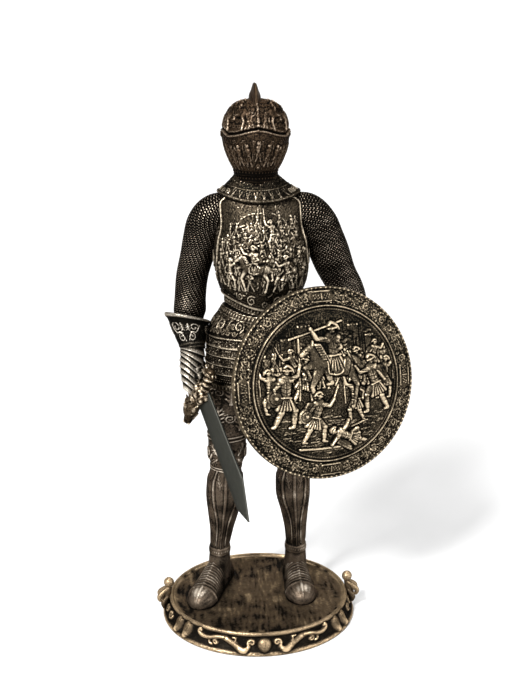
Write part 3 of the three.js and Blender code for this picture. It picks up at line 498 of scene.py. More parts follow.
class Canvas:
    """A flat field of heights in millimetres, over across and up, on which the carving is painted."""

    def __init__(self, across: Point, up: Point, wraps: bool = True, step: float = 0.2) -> None:
        """Makes a bare canvas.

        Args:
            across: Its left and right ends.
            up: Its low and high ends.
            wraps: Whether its right end meets its left.
            step: About the size of a cell.
        """
        columns = int(round((across[1] - across[0]) / step))
        rows = int(round((up[1] - up[0]) / step)) + 1
        self.wraps = wraps
        self.left, self.low = across[0], up[0]
        self.wide = (across[1] - across[0]) / columns
        self.tall = (up[1] - up[0]) / (rows - 1)
        self.height = np.zeros((rows, columns))
        # The shine goes into how rubbed a cell is: painted highlights and painted shade, as well as brighter or duller
        # tone.
        self.shine = np.zeros((rows, columns))
        self.u = self.left + self.wide * np.arange(columns)[None, :]
        self.v = self.low + self.tall * np.arange(rows)[:, None]

    def carve(
        self, form: Stroke | list[Stroke], level: float = 0.0, moat: float = 0.35, gap: float = 0.6, shine: float = 0.0
    ) -> None:
        """Paints strokes as one form over what is there. At a distance d from its path a crest is height * sqrt(1 - (d
        / width)^2).

        Args:
            form: Its strokes.
            moat: How deep the groove round it is.
            gap: How wide that groove is.
            shine: A painted highlight added to the rubbing of its crests, by the square of their height, brightest in
                the middle of a form and fading to its edges so that it looks lit and rounded; below zero it dulls them
                instead.
            level: The height of its ground.
        """
        strokes = [form] if isinstance(form, Stroke) else form
        reach = gap + max(float(s.widths.max()) for s in strokes)
        low = np.min([s.path.min(axis=0) for s in strokes], axis=0) - reach
        high = np.max([s.path.max(axis=0) for s in strokes], axis=0) + reach
        rows, columns = self.height.shape
        first = np.floor((low - (self.left, self.low)) / (self.wide, self.tall)).astype(int)
        last = np.ceil((high - (self.left, self.low)) / (self.wide, self.tall)).astype(int) + 1
        down = np.arange(max(0, first[1]), min(rows, last[1]))
        over = np.arange(first[0], min(last[0], first[0] + columns))
        if not self.wraps:
            over = over[(over >= 0) & (over < columns)]
        if not len(down) or not len(over):
            return
        u = self.left + self.wide * over[None, :]
        v = self.low + self.tall * down[:, None]
        near = np.full((len(down), len(over)), FAR)
        crest = np.zeros_like(near)
        cut = np.zeros_like(near)
        for s in strokes:
            for (x0, y0), (x1, y1), r0, r1 in zip(s.path[:-1], s.path[1:], s.widths[:-1], s.widths[1:]):
                dx, dy = x1 - x0, y1 - y0
                t = np.clip(((u - x0) * dx + (v - y0) * dy) / (dx * dx + dy * dy + 1e-12), 0, 1)
                off = np.hypot(u - x0 - t * dx, v - y0 - t * dy)
                radius = r0 + (r1 - r0) * t
                if s.height < 0:
                    cut = np.maximum(cut, -s.height * hump(off, radius))
                    continue
                near = np.minimum(near, off - radius)
                crest = np.maximum(crest, s.height * hump(off, radius))
        spot = np.ix_(down, over % columns)
        held = self.height[spot]
        sunk = np.maximum(held - moat * np.clip(1 - near / gap, 0, 1), np.minimum(held, DEEPEST_CUT))
        inside = near < 0
        self.height[spot] = np.where(inside, np.maximum(sunk, level + crest) - cut, sunk)
        self.shine[spot] += shine * inside * (crest / max(float(crest.max()), 1e-9)) ** 2

    def line(self, points: list[Point], width: float, height: float, shine: float = 0.0) -> None:
        """Paints one plain raised line."""
        self.carve(stroke(points, width, height), moat=0.0, gap=0.1, shine=shine)

    def add(self, height: Array, shine: Array | float = 0.0) -> None:
        """Adds to the height and the shine of every cell."""
        self.height += height
        self.shine += shine

    def roughen(self, amount: Array | float, size: float, seed: int) -> None:
        """Adds a cast ground's winding ridges, exp(-(n / 0.4)^2) of a noise n between two widths of blur.

        Args:
            amount: The height of the ridges.
            size: The smaller blur, a third of the distance between ridges.
            seed: Of the random numbers.
        """
        grain = np.random.default_rng(seed).normal(size=self.height.shape)
        wide = size / self.wide
        noise = blurred(grain, wide, self.wraps) - blurred(grain, 1.7 * wide, self.wraps)
        noise /= noise.std()
        self.height += amount * (np.exp(-((noise / SPREAD) ** 2)) - SPREAD)

    def clutter(self, box: Box, count: int, size: float, height: float, seed: int) -> None:
        """Fills a box with short hooked strokes at random, as the ground between carved forms.

        Args:
            box: Left, right, low and high ends.
            count: How many strokes.
            size: The length of a stroke.
            height: How far they stand out.
            seed: Of the random numbers.
        """
        dice = np.random.default_rng(seed)
        for _ in range(count):
            x, y = dice.uniform(box[0], box[1]), dice.uniform(box[2], box[3])
            angle, bend = dice.uniform(0, 2 * np.pi), dice.uniform(-1.6, 1.6)
            length = size * dice.uniform(0.5, 1.1)
            middle = turned(np.array([x, y]), length / 2, angle)
            end = turned(middle, length / 2, angle + bend)
            width = size * dice.uniform(0.1, 0.17)
            rise = height * dice.uniform(0.6, 1.1)
            self.carve(stroke([(x, y), tuple(middle), tuple(end)], width, rise), moat=0.2, gap=0.35)

    def filigree(self, box: Box, pitch: float, height: float, seed: int, width: float = 0.16) -> None:
        """Fills a box with small curls in staggered rows, hands alternating, and a bud between each two.

        Args:
            box: Left, right, low and high ends.
            pitch: From curl to curl.
            height: How far they stand out.
            seed: Of the random numbers.
            width: A curl's half width, as a share of the pitch.
        """
        dice = np.random.default_rng(seed)
        rows = max(1, int(round((box[3] - box[2]) / pitch)))
        columns = max(1, int(round((box[1] - box[0]) / pitch)))
        for row, column in np.ndindex(rows, columns):
            x = box[0] + (column + 0.5 + 0.5 * (row % 2)) * (box[1] - box[0]) / columns
            y = box[2] + (row + 0.5) * (box[3] - box[2]) / rows
            start = dice.uniform(0, 2 * np.pi)
            curl = spiral((x, y), pitch * 0.42, 1.1, start, hand_of(row + column), pitch * width, height)
            bud = ball((x + pitch * 0.5, y + pitch * 0.1), pitch * 0.14, height * 0.9)
            self.carve([curl, bud], moat=0.15, gap=0.3)

    def wear_and_painted_light(self, wide: float, gain: float, base: float = 0.3) -> Array:
        """How rubbed each cell is, painted light included: a base, plus what it stands over its surroundings times a
        gain, plus its shine, which holds painted highlights and painted shade as well as brighter or duller tone.
        """
        over = self.height - blurred(self.height, wide / self.wide, self.wraps)
        fine = self.height - blurred(self.height, FINE_REACH * wide / self.wide, self.wraps)
        return np.clip(base + gain * over + FINE_GAIN * gain * fine + self.shine, 0, 1)

    def sample(self, field: Array, across: Array, up: Array) -> Array:
        """A field of the canvas read off at points, by the mean of the four cells round each.

        Args:
            field: As large as the canvas.
            across: Places across.
            up: Places up.

        Returns:
            The values at those points.
        """
        rows, columns = field.shape
        x = (across - self.left) / self.wide
        y = np.clip((up - self.low) / self.tall, 0, rows - 1.001)
        if not self.wraps:
            x = np.clip(x, 0, columns - 1.001)
        i, j = np.floor(y).astype(int), np.floor(x).astype(int)
        p, q = y - i, x - j
        left, right = j % columns, (j + 1) % columns
        low = field[i, left] * (1 - q) + field[i, right] * q
        high = field[i + 1, left] * (1 - q) + field[i + 1, right] * q
        return low * (1 - p) + high * p

    def dress(self, bare: Array, across: Array, up: Array, worn_and_painted_light: Place) -> Skin:
        """A bare skin raised by the relief.

        Args:
            bare: Its points.
            across: Their places across.
            up: Their places up.
            worn_and_painted_light: The three numbers that the wear takes.

        Returns:
            The skin.
        """
        heights = self.sample(self.height, across, up)
        return raised(bare, heights), self.sample(self.wear_and_painted_light(*worn_and_painted_light), across, up)


# Skins


def volume_of(points: Array) -> float:
    """The signed volume of a closed skin of rings: the sum of a . (b x c) / 6 over its faces."""
    a, b = points[:-1], np.roll(points, -1, axis=1)[:-1]
    c, d = np.roll(points, -1, axis=1)[1:], points[1:]
    total = np.sum(a * np.cross(b, c)) + np.sum(a * np.cross(c, d))
    for ring, sign in ((points[0], -1), (points[-1], 1)):
        total += sign * np.sum(ring.mean(axis=0) * np.cross(ring, np.roll(ring, -1, axis=0)))
    return float(total) / 6


def normals_of(points: Array) -> Array:
    """Unit normals of a closed skin of rings, facing out: the cross product of its two directions at each point."""
    across = np.roll(points, -1, axis=1) - np.roll(points, 1, axis=1)
    along = np.gradient(points, axis=0)
    facing = np.cross(across, along)
    facing /= np.linalg.norm(facing, axis=2, keepdims=True) + 1e-9
    return facing if volume_of(points) > 0 else -facing


def raised(points: Array, heights: Array) -> Array:
    """A skin moved out along its normals by a height at each point."""
    return points + normals_of(points) * heights[..., None]


def linked(name: str, data: bpy.types.ID) -> bpy.types.Object:
    """A new object in the scene."""
    item = bpy.data.objects.new(name, data)
    bpy.context.scene.collection.objects.link(item)
    return item


class Casting:
    """One piece made of closed skins, each with a value at every vertex for its rubbing and painted light."""

    def __init__(self, name: str) -> None:
        """Makes an empty piece with a name."""
        self.name = name
        self.points: list[Array] = []
        self.wear_and_painted_light: list[Array] = []
        self.faces: list[Array] = []
        self.corners: list[Array] = []
        self.count = 0

    def add(self, points: Array, wear_and_painted_light: Array | float) -> None:
        """Adds a closed skin of rings, with its two ends closed on a middle point.

        Args:
            points: Rings by points by three.
            wear_and_painted_light: A value for all, or one at each.
        """
        rows, columns = points.shape[:2]
        worn_and_painted_light = np.broadcast_to(np.asarray(wear_and_painted_light, float), (rows, columns))
        index = self.count + np.arange(rows * columns).reshape(rows, columns)
        start, end = self.count + rows * columns, self.count + rows * columns + 1
        a, b = index[:-1], np.roll(index, -1, axis=1)[:-1]
        c, d = np.roll(index, -1, axis=1)[1:], index[1:]
        quads = np.stack([a, b, c, d], axis=-1).reshape(-1, 4)
        first, last = index[0], index[-1]
        low = np.stack([np.full(columns, start), np.roll(first, -1), first], axis=-1)
        high = np.stack([np.full(columns, end), last, np.roll(last, -1)], axis=-1)
        tips = np.vstack([low, high])
        if volume_of(points) < 0:
            quads, tips = quads[:, ::-1], tips[:, ::-1]
        self.points += [points.reshape(-1, 3), points[0].mean(axis=0)[None], points[-1].mean(axis=0)[None]]
        self.wear_and_painted_light += [worn_and_painted_light.reshape(-1), [float(worn_and_painted_light[0].mean()), float(worn_and_painted_light[-1].mean())]]
        self.faces.append(quads)
        self.corners.append(tips)
        self.count += rows * columns + 2

    def triangles(self) -> int:
        """How many triangles the piece has."""
        return 2 * sum(len(f) for f in self.faces) + sum(len(f) for f in self.corners)

    def build(self, matrix: Array | None = None) -> bpy.types.Object:
        """Writes the piece's mesh and its object.

        Args:
            matrix: Four by four, in millimetres, for a piece made in its own place.

        Returns:
            The new object, at the origin.
        """
        points = np.vstack(self.points)
        if matrix is not None:
            points = points @ matrix[:3, :3].T + matrix[:3, 3]
        quads, tips = np.vstack(self.faces), np.vstack(self.corners)
        corners = np.concatenate([quads.reshape(-1), tips.reshape(-1)]).astype(np.int32)
        starts = np.concatenate([4 * np.arange(len(quads)), 4 * len(quads) + 3 * np.arange(len(tips))])
        mesh = bpy.data.meshes.new(self.name)
        mesh.vertices.add(len(points))
        mesh.vertices.foreach_set("co", (points * METRE).astype(np.float32).ravel())
        mesh.loops.add(len(corners))
        mesh.loops.foreach_set("vertex_index", corners)
        mesh.polygons.add(len(starts))
        mesh.polygons.foreach_set("loop_start", starts.astype(np.int32))
        mesh.polygons.foreach_set("use_smooth", np.ones(len(starts), bool))
        mesh.update(calc_edges=True)
        layer = mesh.attributes.new("wear_and_painted_light", "FLOAT", "POINT")
        layer.data.foreach_set("value", np.concatenate(self.wear_and_painted_light).astype(np.float32))
        return linked(self.name, mesh)


class Sections:
    """A body of level sections: x, y, z, half width, front and back, read between rows by a cubic that keeps rising or
    falling with them."""

    def __init__(self, rows: list[list[float]], power: float = 2.0, keel: float = 0.0) -> None:
        """Keeps the rows in order of height.

        Args:
            rows: The sections, in the figure's own millimetres.
            power: 2 for round sections, less for squarer ones.
            keel: The height of the ridge down the front.
        """
        table = np.array(sorted(rows, key=lambda row: row[2]), float)
        self.z, self.rows = table[:, 2], table
        self.power, self.keel = power, keel
        rise = np.diff(table, axis=0) / np.diff(self.z)[:, None]
        a, b = rise[:-1], rise[1:]
        with np.errstate(divide="ignore", invalid="ignore"):
            middle = np.where(a * b > 0, 2 * a * b / (a + b), 0.0)
        self.slopes = np.vstack([rise[:1], middle, rise[-1:]])

    def row(self, z: Array) -> Array:
        """The section at each height: s = t^2 (3 - 2t) between two rows, with their slopes."""
        i = np.clip(np.searchsorted(self.z, z, side="right") - 1, 0, len(self.z) - 2)
        h = (self.z[i + 1] - self.z[i])[..., None]
        t = np.clip((z - self.z[i])[..., None] / h, 0, 1)
        s, q = t * t * (3 - 2 * t), t * t
        low, high = self.rows[i], self.rows[i + 1]
        return low + (high - low) * s + h * (self.slopes[i] * (t - 2 * q + q * t) + self.slopes[i + 1] * (q * t - q))

    def points(self, angle: Array, z: Array, lift: Array | float = 0.0) -> Array:
        """Points of the body: x + w cos a and y - d sin a, each rounded to the body's power.

        Args:
            angle: 0 at the +X side, a quarter turn in front.
            z: Their heights.
            lift: How far they stand off.

        Returns:
            The points, in the frame's millimetres.
        """
        angle, z = np.broadcast_arrays(angle, z)
        row = self.row(z)
        cosine, sine = np.cos(angle), np.sin(angle)
        depth = np.where(sine > 0, row[..., 4], row[..., 5])
        bend = np.clip(1 - np.abs(angle - np.pi / 2) / (np.pi / 8), 0, 1)
        out = lift + self.keel * bend
        across = np.sign(cosine) * np.abs(cosine) ** (2 / self.power)
        ahead = np.sign(sine) * np.abs(sine) ** (2 / self.power)
        x = row[..., 0] + (row[..., 3] + out) * across
        y = row[..., 1] - (depth + out) * ahead
        return np.stack([x, y, z + SOLE], axis=-1)


def around(radius: float, columns: int, up: Array) -> list[Array]:
    """Places across for a ring of columns, from the middle of the back round the front, and up for every ring."""
    across = np.pi * radius * (2 * np.arange(columns) / columns - 1)
    return np.broadcast_arrays(across[None, :], up)


def circle(count: int) -> Array:
    """Angles round a circle, at equal steps."""
    return 2 * np.pi * np.arange(count) / count


def run_of(steps: Array) -> Array:
    """How far along a line each of its points lies, from the steps between them."""
    return np.concatenate([[0.0], np.cumsum(steps)])


def angle_of(across: Array, radius: float) -> Array:
    """The section angle of a place across: a quarter turn at the front."""
    return np.pi / 2 - across / radius


def figure(x: float, y: float, z: float) -> Array:
    """A point of the figure in the frame's millimetres."""
    return np.array([x, y, z + SOLE])


def unit(vector: Array) -> Array:
    """A vector of length 1."""
    return vector / np.linalg.norm(vector)


def carried(path: Array, normals: Array | None = None) -> tuple[Array, Array]:
    """Two directions square to a path at each of its points, turned with it as little as it allows.

    Args:
        path: Points by three.
        normals: The way each ring faces, where that isn't along the path.

    Returns:
        The side and the up direction at each point.
    """
    ahead = np.gradient(path, axis=0) if normals is None else normals
    ahead = ahead / np.linalg.norm(ahead, axis=1, keepdims=True)
    side, sides = np.array([0.93, 0.31, 0.14]), []
    for facing in ahead:
        side = unit(side - facing * (side @ facing))
        sides.append(side)
    across = np.array(sides)
    return across, np.cross(ahead, across)


def tube(path: Array, radii: Array, sides: int, normals: Array | None = None) -> Array:
    """Rings along a path: p + r (side cos a + up sin a).

    Args:
        path: Points by three.
        radii: One at each point, or points by sides.
        sides: Points in a ring.
        normals: As for carried.

    Returns:
        Rings by sides by three.
    """
    side, up = carried(path, normals)
    a = circle(sides)
    spokes = side[:, None] * np.cos(a)[None, :, None] + up[:, None] * np.sin(a)[None, :, None]
    sizes = radii[:, None] if radii.ndim == 1 else radii
    return path[:, None] + spokes * sizes[..., None]


def limb(rows: list, sides: int, rings: int) -> Array:
    """A smooth limb, closed over a quarter of a circle: the radius falls as its cosine, the centre goes on by its sine.

    Args:
        rows: x, y, z and radius, in the frame's millimetres.
        sides: Points in a ring.
        rings: Rings between the ends.

    Returns:
        Rings by sides by three.
    """
    body = respaced(smooth(np.array(rows, float), 8), rings)
    caps = []
    for end, beyond in ((0, 1), (-1, -2)):
        tip, radius = body[end, :3], body[end, 3]
        away = unit(tip - body[beyond, :3])
        turn = np.radians([30, 55, 75, 88])
        cap = np.column_stack([tip + away * (radius * np.sin(turn))[:, None], radius * np.cos(turn)])
        caps.append(cap[::-1] if end == 0 else cap)
    whole = np.vstack([caps[0], body, caps[1]])
    return tube(whole[:, :3], whole[:, 3], sides)


# The pieces of the figure


@dataclass
class Helmet:
    """The close helmet with its comb: a round skull, a rolled brow, a visor that narrows to the neck."""

    radius: float = 19.5
    columns: int = 268
    rows: int = 152
    comb_reach: float = 23.0
    comb_rise: float = 14.0
    comb_half: float = 3.7
    ends: Point = (259, 308.8)
    worn_and_painted_light: Place = (1.2, 0.54, 0.3)

    def body(self) -> Sections:
        """The skull, visor and neck."""
        return Sections(
            [
                [-0.6, 8, 259, 12.4, 12, 13], [-0.7, 8, 267, 12.6, 15, 14], [-0.8, 8, 275, 15.9, 20.5, 18],
                [-0.8, 8, 282, 18.4, 23.3, 21], [-0.8, 8, 289, 19.5, 24, 23], [-0.8, 8, 296, 18.2, 21.8, 22.5],
                [-0.8, 8, 302.5, 15.6, 18.3, 19.5], [-0.8, 8, 306.5, 11.4, 12.8, 14.2],
                [-0.8, 8, 308.8, 4, 4.6, 5.2],
            ],
            power=1.9,
            keel=0.9,
        )

    def profile(self) -> tuple[Array, Array]:
        """Heights up the helmet, and how far each lies along its curve from the bottom."""
        z = np.linspace(*self.ends, 400)
        row = self.body().row(z)
        out = (row[:, 3] + row[:, 4]) / 2
        return z, run_of(np.hypot(np.diff(z), np.diff(out)))

    def paint(self) -> Canvas:
        """The brow, the sight, the neck lames and the embossing."""
        heights, along = self.profile()
        half = np.pi * self.radius
        canvas = Canvas((-half, half), (0, along[-1]))

        def up(z: float) -> float:
            """The place up the canvas of a height."""
            return float(np.interp(z, heights, along))

        canvas.roughen(0.22, 0.42, 5)
        canvas.filigree((-half, half, up(293), along[-1] - 2), 3.4, 0.4, 11, width=0.13)
        canvas.carve(warrior((-15, up(291.8)), 18, 1, RIDER), level=0.15, moat=0.3, shine=-0.32)
        canvas.carve(warrior((15, up(291.8)), 17.5, -1, RIDER), level=0.15, moat=0.3, shine=-0.32)
        canvas.carve(warrior((-4.2, up(292)), 10.5, 1, SPEARMAN, target=True), moat=0.45, shine=-0.05)
        canvas.carve(soldier((4.4, up(292)), 10, 1, Stance(weapon=Weapon.NONE, lift=0.5, lean=0.4)), moat=0.5)
        for hand in (-1, 1):
            canvas.carve(soldier((hand * 24.5, up(291)), 11, -hand, Stance(weapon=Weapon.SWORD, lift=0.9)), moat=0.45)
            for reach, size in ((34, 5.2), (45, 5.6), (55, 4.8)):
                x, y = hand * reach, up(297)
                canvas.carve(spiral((x, y), size, 1.6, 0.4, hand, 0.75, 0.8), moat=0.4)
                canvas.carve(leaf((x, y + 1), (x + hand * 3.5, y + 7.5), 2.2, 0.7), moat=0.3)
            for x, low, tall, lift in ((6.4, 272.4, 13.0, 0.9), (12.8, 272.8, 12.0, 0.3)):
                stance = Stance(weapon=Weapon.NONE, lift=lift, lean=0.15, stride=0.3)
                canvas.carve(soldier((hand * x * 0.94, up(low)), tall, hand, stance), level=0.1, moat=0.25, shine=-0.2)
            for x in (3.4, 9.6, 15.8):
                rod = [(hand * x * 0.8, up(270.6)), (hand * (x + 0.2), up(277)), (hand * (x - 0.2), up(285.6))]
                canvas.carve(stroke(rod, [0.22, 0.24, 0.2], 0.4), moat=0.25)
                for rise, curl in ((274.5, 1.1), (280.0, 1.2), (286.0, 1.3)):
                    canvas.carve(spiral((hand * (x - 0.9), up(rise)), curl, 1.1, rise, hand, 0.24, 0.4), moat=0.25)
            for x in (18.6, 23.0, 27.6):
                canvas.carve(leaf((hand * x * 0.86, up(270.5)), (hand * x, up(284.5)), 2.0, 0.5, lobes=6), moat=0.3)
            x, y = hand * half / 2, up(290.5)
            canvas.carve(ball((x, y), 3.3, 0.55), moat=0.4)
            petals = [ball(tuple(turned(np.array([x, y]), 2.0, 0.785 * k)), 0.7, 0.8) for k in range(8)]
            canvas.carve([*petals, ball((x, y), 1.0, 1.0)], moat=0, shine=0.05)
            for reach in (36, 43, 50, 57):
                canvas.carve(leaf((hand * reach, up(271)), (hand * (reach + 2), up(285)), 2.6, 0.55, lobes=5), moat=0.3)
        canvas.carve(soldier((0, up(275.2)), 11.4, 1, Stance(weapon=Weapon.NONE, lift=0.9, lean=0.0)), moat=0.4)
        canvas.carve(ball((0, up(272.4)), 2.0, 0.6), moat=0.5)
        canvas.carve(ball((0, up(272.4)), 0.8, 1.0), moat=0.4)
        z = np.interp(canvas.v, along, heights)
        turn = canvas.u / self.radius
        ahead = np.clip(np.cos(turn), 0, 1)
        brow = 288.6 + 3.4 * ahead**6 + 20 * np.clip(np.abs(np.sin(turn)) - 0.85, 0, 1)
        rise = z - brow
        free = ease(0.9, 1.4, np.abs(rise - 0.4))
        canvas.height *= free
        twist = 0.85 + 0.15 * np.sin(2 * np.pi * (canvas.u + 1.2 * rise) / 1.5)
        canvas.height += 0.8 * hump(rise, 0.55) * twist
        # The sight is sunk across the front above the brow and painted darker, a painted shade in its opening; the brow
        # band is dulled.
        open_front = ease(0.0, 0.3, np.cos(turn))
        canvas.height -= 1.25 * open_front * ease(0.6, 1.0, rise) * ease(2.3, 1.9, rise)
        canvas.shine += -0.2 * hump(rise, 0.6) - 0.5 * open_front * ease(0.8, 1.1, rise) * ease(2.2, 1.8, rise)
        # The neck lames below the visor are painted darker, a painted shade under the visor and down into the collar,
        # and their rivets brighter.
        neck = ease(270, 268.5, z)
        canvas.height = canvas.height * (1 - neck) + neck * (0.7 * saw(270 - z, 3.4) ** 2 - 0.2)
        rivets = hump(saw(canvas.u, 3.0) * 3 - 1.5, 0.5) * hump(saw(270 - z, 3.4) * 3.4 - 1.3, 0.5)
        canvas.height += 0.5 * neck * rivets
        canvas.shine += neck * (0.3 * rivets - 0.3)
        crest = hump(canvas.u, 1.0) * ease(292, 293, z) * (np.cos(turn) > 0)
        canvas.height += 1.1 * crest
        canvas.shine -= 0.12 * crest
        return canvas

    def comb(self) -> Skin:
        """The comb: a lens across. Along an arc over the skull its height swells as the cosine to the power 1.2, and at
        a share t of the height its half width is 1 - t^2.4.

        Returns:
            The skin.
        """
        turn = np.linspace(-0.3, 0.3, 96)[:, None] * np.pi
        swell = np.clip(np.cos(turn * 5 / 3), 0, 1) ** 1.2
        tall = 2.2 + (self.comb_rise - 2.2) * swell
        half = 0.8 + (self.comb_half - 0.8) * swell
        t = np.concatenate([np.linspace(-0.12, 1, 18), np.linspace(1, -0.12, 18)[1:]])[None, :]
        side = np.concatenate([-np.ones(18), np.ones(17)])[None, :]
        inner = np.clip(1 - np.clip(t, 0, 1) ** 2.4, 0, 1)
        flute = 0.16 * np.sin(np.clip(t, 0, 1) * 5 * np.pi) * (inner > 0.05)
        wide = side * (half * inner + 0.22 * (t > 0.9) + flute)
        reach = self.comb_reach + tall * t - 0.4 * (t > 0.999)
        x = -1.2 + wide
        y = 9 + reach * np.sin(turn)
        z = 281 + reach * np.cos(turn) + SOLE
        points = np.stack(np.broadcast_arrays(x, y, z), axis=-1)
        # The top edge is painted brighter on the +X side only, a painted highlight on one side of the comb.
        wear_and_painted_light = 0.4 + 0.34 * ease(0.9, 0.98, t) * (side > 0) - 0.35 * flute + 0 * turn
        return points, wear_and_painted_light

    def build(self) -> Casting:
        """The helmet as one piece."""
        heights, along = self.profile()
        u, v = around(self.radius, self.columns, np.linspace(0, along[-1], self.rows)[:, None])
        bare = self.body().points(angle_of(u, self.radius), np.interp(v, along, heights))
        piece = Casting("knight_helmet")
        piece.add(*self.paint().dress(bare, u, v, self.worn_and_painted_light))
        piece.add(*self.comb())
        return piece


@dataclass
class Gorget:
    """The flared collar that dips in front, from the neck to a rolled rim."""

    radius: float = 22.0
    columns: int = 288
    rows: int = 62
    half_width: float = 23.6
    neck: Point = (12.3, 12.5)
    top: float = 267.0
    front: float = 18.5
    back: float = 16.0
    down: float = 26.0
    worn_and_painted_light: Place = (1.2, 0.8, 0.26)

    def skin(self, across: Array, along: Array) -> Array:
        """The collar's points: at a share s the half width is 12.3 + s (23.6 - 12.3), and the height falls as s^0.8
        from 267 to the rim, which rolls out and back under.

        Args:
            across: Places across.
            along: Places down the profile, from 0 to 1.

        Returns:
            The points, in the frame's millimetres.
        """
        knots = np.array(
            [
                [0, 0, 0], [0.25, 0, 0], [0.5, 0, 0], [0.75, 0, 0], [0.93, 0, 0], [0.97, 0.45, 0.6],
                [0.985, 0.8, 0.4], [1, 0.9, -0.3], [1, 0.6, -0.9], [1, -1, -2],
            ]
        )
        fine = smooth(knots, 8)
        place = np.linspace(0, 1, len(fine))
        share, out, up = (np.interp(along, place, column) for column in fine.T)
        angle = angle_of(across, self.radius)
        sine = np.sin(angle)
        depth = np.where(sine > 0, self.front, self.back)
        wide = (self.neck[0] + (self.half_width - self.neck[0]) * share + out) * np.cos(angle)
        deep = (self.neck[1] + (depth - self.neck[1]) * share + out) * sine
        rim = 257 - 4.4 * np.clip(sine, 0, 1) ** 2 - 1.6 * np.clip(-sine, 0, 1) ** 2
        z = self.top + (rim - self.top) * share**0.8 + up
        return np.stack([-0.6 + 1.6 * share + wide, 9 - deep, z + SOLE], axis=-1)

    def paint(self) -> Canvas:
        """Rivets at the neck, a row of leaves and small figures, and a bright rolled rim."""
        half = np.pi * self.radius
        canvas = Canvas((-half, half), (0, self.down))
        canvas.roughen(0.2, 0.42, 71)
        for k in range(40):
            x = -half + (k + 0.5) * 2 * half / 40
            canvas.carve(ball((x, 2.4 + 0.5 * (k % 3)), 0.34, 0.4), moat=0.1, gap=0.3, shine=0.34 * (k % 2))
            canvas.carve(ball((x + 0.9, 5.0 - 0.4 * (k % 2)), 0.28, 0.3), moat=0.1, gap=0.3, shine=0.1)
        weapons = [Weapon.SPEAR, Weapon.NONE, Weapon.SWORD]
        for k in range(28):
            x = -half + (k + 0.5) * 2 * half / 28
            stance = Stance(weapon=weapons[k % 3], lift=0.3 + 0.4 * (k % 2), stride=0.5, lean=0.3 * (k % 3 - 1))
            if abs(x) < 20:
                canvas.carve(soldier((x, 6.6), 6.0, hand_of(k), stance), moat=0.35, gap=0.4)
            else:
                canvas.carve(spiral((x, 9.6), 2.1, 1.4, 1.1 * k, hand_of(k), 0.34, 0.5), moat=0.35)
        canvas.height += 0.22 * hump(canvas.v - 6.0, 0.25)
        rim = np.clip(canvas.v / self.down, 0, 1)
        canvas.shine += -0.03 * ease(0.56, 0.5, rim) + 0.24 * ease(0.62, 0.67, rim) * ease(0.78, 0.74, rim)
        return canvas

    def build(self) -> Casting:
        """The collar as one piece."""
        u, t = around(self.radius, self.columns, np.linspace(0, 1, self.rows)[:, None])
        piece = Casting("knight_gorget")
        piece.add(*self.paint().dress(self.skin(u, t), u, t * self.down, self.worn_and_painted_light))
        return piece


